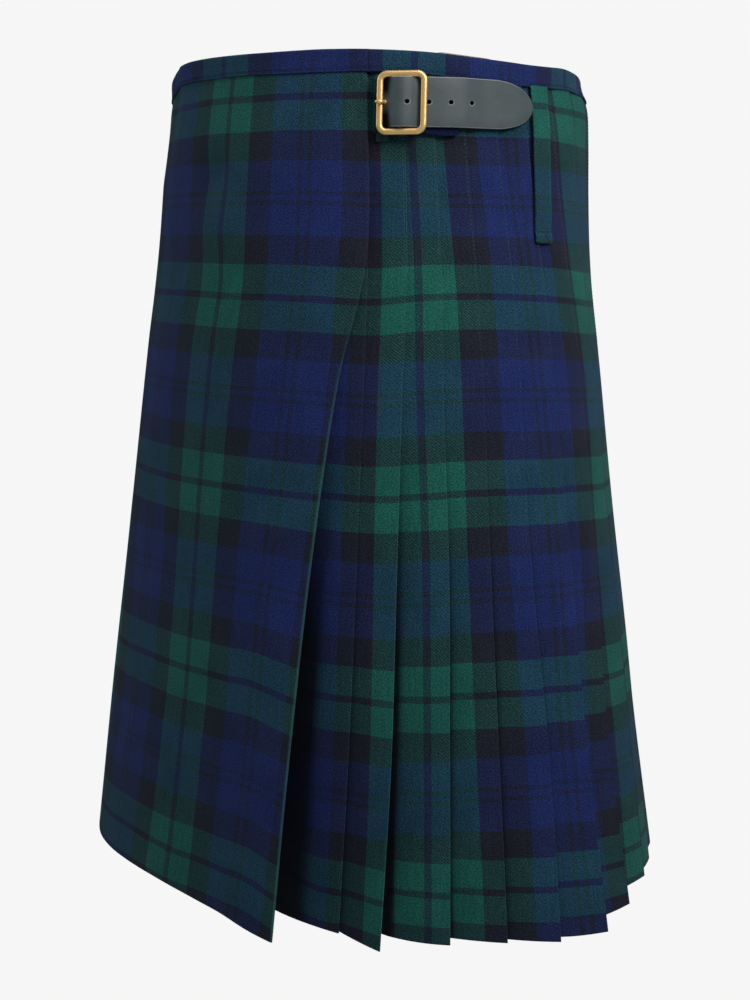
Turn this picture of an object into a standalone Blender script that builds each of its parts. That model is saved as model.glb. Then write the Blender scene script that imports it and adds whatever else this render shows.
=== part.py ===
# Kilt in wool twill, worn shape, waist straps fastened.  Metres, +Z up.
# The wearer faces -Y and the wearer's left is +X.  The origin is the centre of the waist
# at the height of the straps, where the wearer holds the garment up.
import math

import bmesh
import bpy
import numpy as np

MM = 0.001

# Cloth and seams, in millimetres.
WALL = 1.1            # one layer of the cloth
FOLD = 1.5            # middle to middle of the two layers at a pressed fold
LAYERS = 3.0          # outermost to innermost middle of a closed knife pleat
HEM = -560.0          # height of the hem
RIM_MEAN, RIM_TILT = 28.5, 8.5   # rim height: the front is worn higher than the back
BAND_H = 14.5         # waistband, seen from outside
BAND_OUT = 1.6        # waistband middle, outside the cloth it binds
LINING_LOW = -75.0
TUCK = 0.30           # a pleat's inner fold, as a share of the panel it lies under

# Body line of the garment at each height: half width, depth to the front and to the back,
# and how far the widest point stands behind the waist centre.
#            z     half  front  back  shift
BODY = (
    (30.0, 167.0, 134.0, 137.0, -1.0),
    (-30.0, 167.0, 140.0, 146.0, -3.0),
    (-150.0, 179.0, 147.0, 153.0, -5.0),
    (-300.0, 196.0, 156.0, 177.0, -9.0),
    (-440.0, 215.0, 169.0, 194.0, -9.0),
    (HEM, 232.0, 177.0, 214.0, -8.0),
)
# The under-apron hangs straighter, inside everything.
UNDER = (
    (30.0, 156.3, 124.8, 128.0, -1.0),
    (-30.0, 156.3, 129.8, 136.0, -3.0),
    (-150.0, 155.0, 134.0, 140.0, -5.0),
    (-300.0, 150.0, 138.0, 150.0, -9.0),
    (-440.0, 145.0, 140.0, 155.0, -9.0),
    (HEM, 140.0, 140.0, 160.0, -8.0),
)

# Fold edges of the pleats on the wearer's left: azimuth from the front at six heights, how
# far out the edge hangs at the hem as a share of the body line, and the depth of the step
# behind the edge before it.
EDGE_Z = (20.0, -100.0, -180.0, -300.0, -430.0, HEM)
#          azimuth at each height                      out   step
EDGES = (
    ((48.6, 49.3, 48.8, 47.9, 46.0, 43.3), 0.900, 4.0),
    ((57.0, 58.2, 57.4, 56.7, 55.2, 52.6), 0.975, 5.0),
    ((63.7, 65.7, 66.0, 67.4, 67.0, 66.6), 0.907, 25.0),
    ((70.4, 73.7, 74.8, 76.0, 76.6, 77.2), 0.925, 12.0),
    ((78.0, 82.6, 83.7, 85.0, 86.2, 85.8), 0.983, 7.0),
    ((86.9, 91.7, 93.7, 96.0, 96.6, 94.9), 1.025, 9.0),
    ((96.6, 101.4, 104.4, 106.6, 106.4, 106.7), 0.977, 20.0),
    ((106.6, 111.0, 114.4, 116.0, 117.1, 118.0), 0.965, 20.0),
)
FIRST_START = (40.0, 39.0, 36.0, 30.0, 25.0, 22.0)   # where the first panel begins
FIRST_OUT = 0.85
# The rest run round the back to this azimuth, evenly by girth, with these hem values in turn.
MORE_EDGES = 21
LAST_EDGE = (311.5, 311.0, 311.5, 313.0, 314.5, 316.0)
MORE_HEM = ((0.962, 16.0), (0.985, 9.0), (1.000, 13.0), (0.970, 18.0), (1.005, 8.0))
SPLITS = (10, 20)      # the cloth is joined in lengths inside these pleats

# Over-apron: azimuths of its pleated edge (wearer's left) and free edge (wearer's right),
# and the width folded under at the pleated edge.
APRON_EDGE = (48.5, 49.3, 43.6, 38.8, 35.0, 31.4)
APRON_FREE = (-62.0, -62.0, -61.0, -60.0, -58.5, -57.0)
APRON_TURN = (13.0, 15.0, 20.0, 27.0, 36.0, 44.0)

# Waist straps, in millimetres round the waist (s) from the buckle's middle, and out from
# the cloth (w).
STRAP_W, STRAP_T, STRAP_TIP = 31.5, 2.5, 31.0
BUCKLE_W, BUCKLE_H, BUCKLE_R, WIRE = 32.5, 41.5, 6.5, 4.2
TAB_Z = (-20.5, 16.2)  # lower and upper edge of the buckle's tab
LEFT_AZ, RIGHT_AZ = 56.4, -82.0
RIGHT_DROP = 4.0       # how much lower the right strap lies
CLEAR = 0.6            # the straps' parts stand this far off the cloth
HOLES = (4.0, 17.7, 31.4, 45.1)
HOLE_R, PIN_HOLE = 1.5, -9.7
LOOP_S, LOOP_W, LOOP_LOW = 102.6, 16.5, -89.0     # belt loops, from the buckle's middle


# --- curves and sections ----------------------------------------------------------------

def through(stations, values, z):
    """Smooth curve through a short table, held level past its ends."""
    s, v = np.asarray(stations, float), np.asarray(values, float)
    if s[0] > s[-1]:
        s, v = s[::-1], v[::-1]
    z = np.clip(z, s[0], s[-1])
    step = np.diff(v) / np.diff(s)
    slope = np.concatenate([step[:1], (step[1:] + step[:-1]) / 2, step[-1:]])
    i = np.clip(np.searchsorted(s, z) - 1, 0, len(s) - 2)
    h = s[i + 1] - s[i]
    t = (z - s[i]) / h
    return (v[i] * (1 + 2 * t) * (1 - t) ** 2 + v[i + 1] * t * t * (3 - 2 * t)
            + h * (slope[i] * t * (1 - t) ** 2 - slope[i + 1] * t * t * (1 - t)))


def ease(x, low, high):
    t = np.clip((x - low) / (high - low), 0, 1)
    return t * t * (3 - 2 * t)


def drop(z):
    """0 at the straps, 1 at the hem."""
    return np.clip(np.asarray(z, float) / HEM, 0, 1)


def section(az, z, squareness, table=BODY):
    """Plan point and outward unit normal of a body line at an azimuth in degrees."""
    z_col = [row[0] for row in table]
    half, front, back, shift = (through(z_col, [row[i] for row in table], z) for i in (1, 2, 3, 4))
    c, s = np.sin(np.radians(az)), -np.cos(np.radians(az))
    n = np.where(s < 0, squareness, 2.1)
    deep = np.where(s < 0, front, back)
    u, v = np.abs(c / half), np.abs(s / deep)
    r = (u ** n + v ** n) ** (-1 / n)
    nx = np.sign(c) * (u * r) ** (n - 1) / half
    ny = np.sign(s) * (v * r) ** (n - 1) / deep
    long = np.hypot(nx, ny)
    return np.stack([r * c, r * s + shift], -1), np.stack([nx / long, ny / long], -1)


def apron_line(az, z):
    return section(az, z, 2.2 + 0.6 * drop(z))


def pleat_line(az, z):
    return section(az, z, 2.2 - 0.25 * drop(z))


def rim(az):
    return RIM_MEAN + RIM_TILT * np.cos(np.radians(az))


def apron_lift(az, z):
    """How far the over-apron lies outside its line, over the pleats at either side."""
    z = np.asarray(z, float)
    left = 1.5 * ease(az, 30.0, 44.0) * (1 - ease(-z, 150.0, 320.0))
    return left + (1.8 + 3.2 * ease(z, -40.0, 8.0)) * ease(-az, 34.0, 46.0)


GIRTH_AZ = np.arange(-180.0, 541.0, 1.0)


def girth(z):
    p, _ = pleat_line(GIRTH_AZ, z)
    run = np.concatenate([[0], np.cumsum(np.hypot(*np.diff(p, axis=0).T))])
    return run - np.interp(0.0, GIRTH_AZ, run)


def edge_table(z):
    """(azimuth, out, step) of every fold edge at one height."""
    open_ = ease(-z, 150.0, -HEM) * 0.35 + 0.65 * np.clip((-z - 170.0) / 390.0, 0, 1) ** 1.4
    out_ = np.clip((-z - 180.0) / 380.0, 0, 1) ** 1.3
    rows = [(float(through(EDGE_Z, a, z)), o, d) for a, o, d in EDGES]
    run = girth(z)
    g0 = np.interp(rows[-1][0], GIRTH_AZ, run)
    g1 = np.interp(float(through(EDGE_Z, LAST_EDGE, z)), GIRTH_AZ, run)
    for i in range(MORE_EDGES):
        o, d = MORE_HEM[i % len(MORE_HEM)]
        g = g0 + (g1 - g0) * (i + 1) / MORE_EDGES
        rows.append((float(np.interp(g, run, GIRTH_AZ)), o, d))
    made = []
    for i, (az, o, d) in enumerate(rows):
        top = 5.4 if i == 1 else LAYERS
        made.append((az, 1 + (o - 1) * out_, top + max(d - top, 0.0) * open_))
    start = (float(through(EDGE_Z, FIRST_START, z)), 1 + (FIRST_OUT - 1) * out_)
    return start, made


# --- the pleated wall --------------------------------------------------------------------

SHARES = (TUCK, 0.65)


def gap(z):
    """From layer to layer along the body line's normal, more where the panels slope."""
    return FOLD * (1 + 0.5 * float(ease(-z, 200.0, 480.0)))


def panel_off(steps, k, t, z):
    """How far inside the body line panel k lies, at share t of its width."""
    if k == 1:
        return 2.1 + 0.6 * (1 - t)
    bow = 2.2 - 1.2 * ease(-z, 150.0, 420.0)
    return steps[k] * (1 - t) ** bow


def hidden_off(steps, k, t, z):
    """How far inside panel k - 1 the hidden start of panel k lies."""
    deep = max(steps[k], panel_off(steps, k - 1, TUCK, z) + 2 * gap(z))
    line = steps[k] + (deep - steps[k]) * (1 - t) / (1 - TUCK)
    return max(line, panel_off(steps, k - 1, t, z) + 2 * gap(z))


def turned_off(steps, k, t, z):
    """How far inside panel k - 1 the layer turned under from its edge lies."""
    deep = hidden_off(steps, k, TUCK, z) - gap(z)
    lip = panel_off(steps, k - 1, 1.0, z) + gap(z)
    line = lip + (deep - lip) * (1 - t) / (1 - TUCK)
    line = max(line, panel_off(steps, k - 1, t, z) + gap(z))
    return min(line, hidden_off(steps, k, t, z) - gap(z))


def pleat_path(z, first, last, ends_open):
    """Middle line of pleats first to last at one height, as rows of azimuth, share out,
    offset inwards, direction, and 1 where a fold starts.  Each pleat is a panel, a fold
    edge that points to the back, the layer turned under, and an inner fold."""
    start, edges = edge_table(z)
    nodes = [start] + [e[:2] for e in edges]
    steps = [0.0] + [e[2] for e in edges]
    line = []

    def at(k, t, off, way, turns=0):
        (a, p), (b, q) = nodes[k - 1], nodes[k]
        line.append((a + (b - a) * t, p + (q - p) * t, off, way, turns))

    for k in range(first, last + 1):
        near = 0.4 / max((nodes[k][0] - nodes[k - 1][0]) * (2.9 + 1.1 * float(drop(z))), 12.0)
        if k == 1:
            at(1, 0.0, panel_off(steps, 1, 0.0, z), 1)
        else:
            at(k - 1, SHARES[1], hidden_off(steps, k, SHARES[1], z), 1)
            at(k, 0.0, steps[k], 1)
        for t in SHARES:
            at(k, t, panel_off(steps, k, t, z), 1)
        lip = panel_off(steps, k, 1.0, z)
        at(k, 1 - near, lip, 1, 1)
        at(k, 1.0, lip + FOLD / 2, 1)
        at(k, 1 - near, lip + FOLD, -1)
        if k == last and ends_open or k == len(edges):
            if k < len(edges):
                at(k, SHARES[1], turned_off(steps, k + 1, SHARES[1], z), -1)
            else:
                at(k, SHARES[1], panel_off(steps, k, SHARES[1], z) + FOLD, -1)
            continue
        at(k, SHARES[1], turned_off(steps, k + 1, SHARES[1], z), -1)
        at(k, TUCK + near, turned_off(steps, k + 1, TUCK, z), -1, 1)
        at(k, TUCK, hidden_off(steps, k + 1, TUCK, z) - FOLD / 2, -1)
        at(k, TUCK + near, hidden_off(steps, k + 1, TUCK, z), 1)
    return line


# --- making solids -----------------------------------------------------------------------

def material(name, colour, rough, metal=0.0):
    m = bpy.data.materials.new(name)
    m.use_nodes = True
    b = m.node_tree.nodes["Principled BSDF"]
    b.inputs["Base Color"].default_value = (*colour, 1)
    b.inputs["Roughness"].default_value = rough
    b.inputs["Metallic"].default_value = metal
    return m


def solid(name, points, faces, mat):
    """One closed body, turned the right way out."""
    v = np.asarray(points, float)
    f = np.asarray(faces, int)
    if np.einsum("ij,ij->", v[f[:, 0]], np.cross(v[f[:, 1]], v[f[:, 2]])) < 0:
        f = f[:, ::-1]
    me = bpy.data.meshes.new(name)
    me.from_pydata([tuple(p) for p in v * MM], [], f.tolist())
    me.materials.append(mat)
    ob = bpy.data.objects.new(name, me)
    bpy.context.scene.collection.objects.link(ob)
    return ob


def slab(name, outer, inner, ways, mat):
    """A wall between two grids [level][point], cut into triangles the same way in every
    layer, so that neighbouring layers never touch."""
    outer, inner = np.asarray(outer, float), np.asarray(inner, float)
    levels, count = outer.shape[:2]
    n = levels * count
    faces = []

    def skin(base, flip):
        for j in range(levels - 1):
            for i in range(count - 1):
                a, b = base + j * count + i, base + j * count + i + 1
                c, d = b + count, a + count
                two = [(a, b, c), (a, c, d)] if ways[i] > 0 else [(a, b, d), (b, c, d)]
                faces.extend(t[::-1] if flip else t for t in two)

    skin(0, False)
    skin(n, True)
    for j in (0, levels - 1):
        for i in range(count - 1):
            a, b = j * count + i, j * count + i + 1
            two = [(b, a, a + n), (b, a + n, b + n)]
            faces.extend(two if j == 0 else [t[::-1] for t in two])
    for i in (0, count - 1):
        for j in range(levels - 1):
            a, d = j * count + i, (j + 1) * count + i
            two = [(a, d, d + n), (a, d + n, a + n)]
            faces.extend(two if i == 0 else [t[::-1] for t in two])
    return solid(name, np.concatenate([outer.reshape(-1, 3), inner.reshape(-1, 3)]), faces, mat)


def thicken(middle, wall, outward):
    """Outer and inner lines of a wall about a middle line in plan."""
    middle = np.asarray(middle, float)
    way = np.diff(middle, axis=0)
    way /= np.linalg.norm(way, axis=1)[:, None]
    side = np.stack([way[:, 1], -way[:, 0]], 1) * outward
    first, second = np.vstack([side[:1], side]), np.vstack([side, side[-1:]])
    both = first + second
    both /= np.linalg.norm(both, axis=1)[:, None]
    reach = 1 / np.maximum((both * first).sum(1), 0.62)
    shift = both * reach[:, None] * wall / 2
    return middle + shift, middle - shift


def cloth_wall(name, levels, line_at, wall, mat, outward=1.0):
    """line_at(level) gives (plan points, heights, ways)."""
    outer, inner = [], []
    for level in levels:
        plan, heights, ways = line_at(level)
        a, b = thicken(plan, wall, outward)
        outer.append(np.column_stack([a, heights]))
        inner.append(np.column_stack([b, heights]))
    return slab(name, outer, inner, ways, mat)


def place(az, z, off, line=pleat_line, share=1.0):
    p, n = line(np.asarray(az, float), z)
    return p * np.asarray(share)[..., None] - n * np.asarray(off)[..., None]


# --- clear the scene ---------------------------------------------------------------------

for old in list(bpy.data.objects):
    bpy.data.objects.remove(old)

wool = material("wool twill", (0.03, 0.07, 0.07), 0.85)
band_wool = material("wool twill, waistband", (0.03, 0.04, 0.10), 0.85)
drill = material("cotton drill", (0.50, 0.40, 0.26), 0.8)
leather = material("leather", (0.03, 0.035, 0.04), 0.45)
brass = material("brass", (0.62, 0.42, 0.16), 0.35, 1.0)

# --- pleats ------------------------------------------------------------------------------



def round_fold(plan, i):
    """Sets the two points after point i, so that the cloth turns inwards about its end."""
    way = plan[i] - plan[i - 1]
    way /= np.hypot(*way)
    side = np.array([-way[1], way[0]])
    side *= -np.sign(side @ plan[i])
    plan[i + 1] = plan[i] + way * 0.45 + side * FOLD / 2
    plan[i + 2] = plan[i] + side * FOLD


PLEAT_LEVELS = ("top", -40.0, -150.0, -225.0, -310.0, -420.0, HEM)


def pleats(name, first, last):
    """Pleats first to last as one length of cloth.  Under the over-apron the first panel
    stops below the waistband."""
    def line_at(level):
        z = 26.0 if level == "top" else level
        rows = np.array(pleat_path(z, first, last, True))
        heights = np.full(len(rows), z)
        if level == "top":
            heights = rim(rows[:, 0]) - np.where(rows[:, 0] < 49.1, 17.5, 2.2)
        plan = place(rows[:, 0], heights, rows[:, 2], share=rows[:, 1])
        for i in np.flatnonzero(rows[:, 4]):
            round_fold(plan, i)
        return plan, heights, rows[1:, 3]

    return cloth_wall(name, PLEAT_LEVELS, line_at, WALL, wool)


LAST = len(EDGES) + MORE_EDGES
pleats("pleats-left", 1, SPLITS[0])
pleats("pleats-back", SPLITS[0] + 1, SPLITS[1])
pleats("pleats-right", SPLITS[1] + 1, LAST)

# --- aprons ------------------------------------------------------------------------------

APRON_LEVELS = ("top", "band", -40.0, -85.0, -150.0, -220.0, -305.0, -390.0, -475.0, HEM)


BAND_LEVELS = {"top": 2.2, "band": 17.5}     # below the rim


def over_apron(level):
    z = 26.0 if level in BAND_LEVELS else level
    free, edge = (float(through(EDGE_Z, t, z)) for t in (APRON_FREE, APRON_EDGE))
    turn = float(through(EDGE_Z, APRON_TURN, z)) / 2.9
    az = list(free + (edge - 0.15 - free) * np.linspace(0, 1, 24))
    off = [-float(apron_lift(a, z)) for a in az]
    ways = [1] * 24
    for k, (back, more) in enumerate(((0.0, FOLD / 2), (0.15, FOLD), (turn * 0.5, FOLD + 0.2),
                                      (turn, FOLD + 0.4))):
        az.append(edge - back)
        off.append(-float(apron_lift(edge, z)) + more)
        ways.append(1 if k == 0 else -1)
    az, off = np.array(az), np.array(off)
    heights = rim(az) - BAND_LEVELS[level] if level in BAND_LEVELS else np.full(len(az), z)
    return place(az, heights, off, apron_line), heights, ways[1:]


cloth_wall("over-apron", APRON_LEVELS, over_apron, WALL, wool)


def under_apron(level):
    az = np.linspace(-58.0, 58.0, 21)
    heights = rim(az) - BAND_LEVELS[level] if level in BAND_LEVELS else np.full(len(az), level)
    return section(az, heights, 2.2, UNDER)[0], heights, [1] * 20


cloth_wall("under-apron", APRON_LEVELS, under_apron, WALL, wool)

# --- lining and waistbands -----------------------------------------------------------------


def lining(level):
    az = np.linspace(63.0, 298.0, 41)
    peek = 1.6 * ease(az, 62.0, 66.0) * (1 - ease(az, 78.0, 84.0))
    heights = (rim(az) - 1.2 + peek * 1.7) if level == "top" else np.full(len(az), level)
    return place(az, heights, np.full(len(az), 7.5)), heights, [1] * 40


cloth_wall("waist-lining", ("top", -40.0, LINING_LOW), lining, 1.0, drill)


def binding(name, az, out_off, in_off, line_of, inner_h, mat):
    """A strip folded over the top edge: outer leg, top and inner leg, swept round."""
    az = np.asarray(az, float)
    grid = []
    for i, a in enumerate(az):
        top = float(rim(a))
        o, n_in = float(out_off[i]), float(in_off[i])
        ring = []
        for off, z in (
            (-o - WALL / 2, top - BAND_H), (-o - WALL / 2, top - 0.4), (-o + 0.2, top),
            (n_in - 0.2, top), (n_in + WALL / 2, top - 0.4), (n_in + WALL / 2, top - inner_h),
            (n_in - WALL / 2, top - inner_h), (n_in - WALL / 2, top - 1.3),
            (-o + WALL / 2, top - 1.3), (-o + WALL / 2, top - BAND_H),
        ):
            x, y = line_of(a, z, off)
            ring.append((x, y, z))
        grid.append(ring)
    return loft(name, grid, mat)


def loft(name, rings, mat):
    """A closed body through rings of equal count, ends filled."""
    rings = np.asarray(rings, float)
    count, m = rings.shape[:2]
    faces = []
    for j in range(count - 1):
        for i in range(m):
            a, b = j * m + i, j * m + (i + 1) % m
            faces += [(a, b, b + m), (a, b + m, a + m)]
    me_faces = [list(range(m))[::-1], [(count - 1) * m + i for i in range(m)]]
    v = rings.reshape(-1, 3) * MM
    me = bpy.data.meshes.new(name)
    me.from_pydata([tuple(p) for p in v], [], [list(f) for f in faces] + me_faces)
    bm = bmesh.new()
    bm.from_mesh(me)
    bmesh.ops.triangulate(bm, faces=[f for f in bm.faces if len(f.verts) > 3])
    bmesh.ops.recalc_face_normals(bm, faces=bm.faces)
    if bm.calc_volume(signed=True) < 0:
        bmesh.ops.reverse_faces(bm, faces=bm.faces)
    bm.to_mesh(me)
    bm.free()
    me.materials.append(mat)
    ob = bpy.data.objects.new(name, me)
    bpy.context.scene.collection.objects.link(ob)
    return ob


def on_pleats(az, z, off):
    p, n = pleat_line(az, z)
    return p - n * off


def on_apron(az, z, off):
    p, n = apron_line(az, z)
    return p - n * off


front_az = np.clip(np.linspace(-62.0, 48.4, 24), -61.6, 48.2)
front_out = np.array([float(apron_lift(a, 26.0)) for a in front_az]) + BAND_OUT
front_in = -front_out + 2 * BAND_OUT + 1.9 * ease(front_az, 36.0, 42.0)
binding("waistband-front", front_az, front_out, front_in, on_apron, 11.0, band_wool)

back_az = np.linspace(49.0, 311.2, 43)
back_out = 1.75 + 1.5 * (1 - ease(back_az, 49.0, 60.0))
back_in = 5.75 + 1.0 * (1 - ease(back_az, 57.0, 62.5))
binding("waistband-back", back_az, back_out, back_in, on_pleats, 11.0, band_wool)

under_az = np.linspace(-57.7, 57.7, 21)


def on_under(az, z, off):
    p, n = section(az, z, 2.2, UNDER)
    return p - n * off


flat = np.full(len(under_az), BAND_OUT)
binding("waistband-under", under_az, flat, flat, on_under, 11.0, band_wool)

# --- straps, buckles and loops ---------------------------------------------------------------

GIRTH0 = girth(0.0)


def azimuth_at(s, middle):
    g = np.interp(middle, GIRTH_AZ, GIRTH0)
    return np.interp(g + s, GIRTH0, GIRTH_AZ)


def on_waist(s, w, z, middle, side):
    """A point s round the waist from a buckle's middle (to the back), w out from the cloth."""
    az = azimuth_at(s * side, middle)
    p, n = pleat_line(az, z)
    q = p + n * (WALL / 2 + CLEAR + w)
    return (q[0], q[1], z - RIGHT_DROP * (side < 0))


def in_plane(s, w, z, middle, side):
    """The same for metal, which doesn't bend round the waist."""
    p, n = pleat_line(middle, 0.0)
    t = np.array([-n[1], n[0]]) * side
    lean = (pleat_line(middle, 20.0)[0] - pleat_line(middle, -20.0)[0]) / 40.0
    q = p + n * (WALL / 2 + CLEAR + w) + t * s + lean * z
    return (q[0], q[1], z - RIGHT_DROP * (side < 0))


def curve_through(points, per=4):
    """Catmull-Rom through the points (rows)."""
    p = np.asarray(points, float)
    p = np.vstack([2 * p[0] - p[1], p, 2 * p[-1] - p[-2]])
    made = []
    for i in range(1, len(p) - 2):
        for t in np.arange(per) / per:
            a = 2 * p[i]
            b = p[i + 1] - p[i - 1]
            c = 2 * p[i - 1] - 5 * p[i] + 4 * p[i + 1] - p[i + 2]
            d = -p[i - 1] + 3 * p[i] - 3 * p[i + 1] + p[i + 2]
            made.append((a + b * t + c * t * t + d * t ** 3) / 2)
    made.append(p[-2])
    return np.array(made)


def strap(name, path, middle, side):
    """A leather strap along a path of (s, w), with a half-round tip and punched holes."""
    line = curve_through(path, 2)
    end = line[-1, 0]
    tail = end - STRAP_TIP * (1 - np.cos(np.linspace(0, np.pi / 2, 8)[1:]))[::-1]
    keep = line[line[:, 0] < end - STRAP_TIP - 1.0]
    rest = np.column_stack([tail, np.interp(tail, line[:, 0], line[:, 1])])
    line = np.vstack([keep, rest])
    way = np.gradient(line, axis=0)
    way /= np.linalg.norm(way, axis=1)[:, None]
    up = np.stack([-way[:, 1], way[:, 0]], 1)
    rings = []
    for (s, w), (us, uw) in zip(line, up):
        left = np.clip((end - s) / STRAP_TIP, 0, 1)
        half = STRAP_W / 2 * (1 - (1 - left) ** 2.2) ** 0.5
        half = max(half, 1.2)
        t, b = STRAP_T / 2, 0.45
        ring = []
        for z, h in ((-half + b, -t), (half - b, -t), (half, -t + b), (half, t - b),
                     (half - b, t), (-half + b, t), (-half, t - b), (-half, -t + b)):
            ring.append(on_waist(s + us * h, w + uw * h, z, middle, side))
        rings.append(ring)
    body = loft(name, rings, leather)
    for k, s in enumerate((PIN_HOLE,) + HOLES):
        w = np.interp(s, line[:, 0], line[:, 1])
        i = int(np.argmin(np.abs(line[:, 0] - s)))
        tilt = up[i]
        r, along = (HOLE_R, HOLE_R) if k else (1.7, 2.6)
        ring = []
        for h in (-4.0, 4.0):
            ring.append([on_waist(s + tilt[0] * h + way[i][0] * along * math.cos(a),
                                  w + tilt[1] * h + way[i][1] * along * math.cos(a),
                                  r * math.sin(a), middle, side)
                         for a in np.linspace(0, 2 * np.pi, 9)[:-1]])
        cut(body, loft(f"{name}-punch{k}", ring, leather))
    return body


def cut(body, tool, how="DIFFERENCE"):
    tool.hide_render = True
    tool.display_type = "WIRE"
    m = body.modifiers.new(tool.name, "BOOLEAN")
    m.operation, m.solver, m.object = how, "EXACT", tool


def tube(name, centres, radii, middle, side, mat, closed=False, sides=8, up=(0.0, 1.0, 0.0)):
    """A wire along centres of (s, w, z), with an oval section: across up, and along it."""
    c = np.asarray(centres, float)
    n = len(c)
    nxt, prv = np.roll(c, -1, 0), np.roll(c, 1, 0)
    if not closed:
        nxt[-1], prv[0] = c[-1], c[0]
    way = nxt - prv
    way /= np.linalg.norm(way, axis=1)[:, None]
    rings = []
    for i in range(n):
        u = np.cross(way[i], up)
        u /= np.linalg.norm(u)
        v = np.cross(u, way[i])
        ring = []
        for k in range(sides):
            a = 2 * np.pi * (k + 0.5) / sides
            p = c[i] + u * math.cos(a) * radii[0] + v * math.sin(a) * radii[1]
            ring.append(in_plane(*p, middle, side))
        rings.append(ring)
    if closed:
        rings = np.asarray(rings)
        m = sides
        faces = []
        for j in range(n):
            for i in range(m):
                a, b = j * m + i, j * m + (i + 1) % m
                c2, d = ((j + 1) % n) * m + (i + 1) % m, ((j + 1) % n) * m + i
                faces += [(a, b, c2), (a, c2, d)]
        return solid(name, rings.reshape(-1, 3), faces, mat)
    return loft(name, rings, mat)


def frame_w(s, low, high):
    """The buckle leans: its two sides lie at different heights over the cloth."""
    return low + (high - low) * (s + BUCKLE_W / 2) / BUCKLE_W


def buckle(name, low, high, bar_w, middle, side):
    a, b, r = BUCKLE_W / 2 - WIRE / 2, BUCKLE_H / 2 - WIRE / 2, BUCKLE_R - WIRE / 2
    loop = []
    for cx, cz, start in ((a - r, b - r, 0), (-a + r, b - r, 90), (-a + r, -b + r, 180),
                          (a - r, -b + r, 270)):
        for k in range(5):
            t = math.radians(start + 90 * k / 4)
            s = cx + r * math.cos(t)
            loop.append((s, frame_w(s, low, high), cz + r * math.sin(t)))
    ring = tube(name, loop, (WIRE / 2, 1.6), middle, side, brass, closed=True, sides=8)
    mid_w = frame_w(0.0, low, high)
    bar = tube(name + "-bar", [(0, mid_w, -b), (0, mid_w * 0.4 + bar_w * 0.6, -b + 2.2),
                               (0, bar_w, -b + 4.5), (0, bar_w, b - 4.5),
                               (0, mid_w * 0.4 + bar_w * 0.6, b - 2.2), (0, mid_w, b)],
               (1.2, 1.2), middle, side, brass, sides=6)
    cut(ring, bar, "UNION")
    return ring


def tongue(name, low, high, bar_w, middle, side):
    """The pin: an eye round the middle bar and a shank through the strap to the near side."""
    rings = []
    for k in range(12):
        t = 2 * math.pi * k / 12
        ring = []
        for r, z in ((1.5, -1.5), (2.7, -1.5), (2.7, 1.5), (1.5, 1.5)):
            ring.append(in_plane(r * math.cos(t), bar_w + r * math.sin(t), z, middle, side))
        rings.append(ring)
    rings = np.asarray(rings)
    faces = []
    for j in range(12):
        for i in range(4):
            a, b = j * 4 + i, j * 4 + (i + 1) % 4
            faces += [(a, b, ((j + 1) % 12) * 4 + (i + 1) % 4), (a, ((j + 1) % 12) * 4 + (i + 1) % 4,
                                                                  ((j + 1) % 12) * 4 + i)]
    body = solid(name, rings.reshape(-1, 3), faces, brass)
    pin = tube(name + "-shank", shank_path(low, high, bar_w), (0.9, 1.0), middle, side, brass,
               sides=6, up=(0.0, 0.0, 1.0))
    cut(body, pin, "UNION")
    return body


def shank_path(low, high, bar_w):
    near = frame_w(-BUCKLE_W / 2 + WIRE / 2, low, high)
    return curve_through([(-2.1, bar_w - 0.3, 0), (-6.0, bar_w - 1.0, 0),
                          (PIN_HOLE + 0.6, near + 0.8, 0), (-12.2, near + 3.1, 0),
                          (-BUCKLE_W / 2 - 1.2, near + 3.0, 0)], 3)


def tab(name, length, bar_w, middle, side):
    """The cloth tab that holds the buckle: two layers on the garment and a turn round the bar,
    slotted in the middle for the pin, narrow between the frame's corners."""
    r = 1.2 + 0.35 + WALL / 2
    turn = [(r * math.cos(t), bar_w + r * math.sin(t))
            for t in np.radians([-75, -110, -145, -180, -215, -250, -285])]
    line = np.array([(length, 1.0), (length - 9, 1.0), (9.0, 1.0), (4.5, 1.6)] + turn
                    + [(4.5, bar_w + 0.2), (9.0, 2.8), (length - 9, 2.45), (length, 2.45)])
    outer, inner = thicken(line, WALL, 1.0)
    ring = np.vstack([outer, inner[::-1]])
    low, high = TAB_Z
    narrow = 1 - ease(ring[:, 0], 5.5, 10.0)
    rings = []
    for edge, tight in ((low, -13.6), (high, 13.6)):
        z = edge + (tight - edge) * narrow
        rings.append([on_waist(s, w, h, middle, side) for (s, w), h in zip(ring, z)])
    body = loft(name, rings, band_wool)
    slot = box(name + "-slot", -4.0, 7.0, -1.0, 12.0, -2.4, 2.4, middle, side, band_wool)
    cut(body, slot)
    return body


def box(name, s0, s1, w0, w1, z0, z1, middle, side, mat, steps=1):
    rings = []
    for s in np.linspace(s0, s1, steps + 1):
        rings.append([on_waist(s, w, z, middle, side)
                      for w, z in ((w0, z0), (w1, z0), (w1, z1), (w0, z1))])
    return loft(name, rings, mat)


def belt_loop(name, middle, side):
    """A vertical strip sewn down at both ends, standing a little clear between them."""
    top = float(rim(middle + side * 34.0)) - BAND_H - 1.2
    rows = ((top, 0.1, 1.7), (top - 5.0, 0.3, 1.9), (top - 20.0, 1.9, 3.1), (-38.0, 2.6, 3.8),
            (LOOP_LOW + 20.0, 2.0, 3.2), (LOOP_LOW + 8.5, 0.6, 2.4), (LOOP_LOW + 7.5, 0.5, 2.6),
            (LOOP_LOW, 0.3, 2.4))
    rings = []
    for z, w0, w1 in rows:
        s = [LOOP_S + LOOP_W * (k / 3 - 0.5) for k in range(4)]
        rings.append([on_waist(x, w0, z, middle, side) for x in s]
                     + [on_waist(x, w1, z, middle, side) for x in s[::-1]])
    return loft(name, rings, wool)


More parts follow.
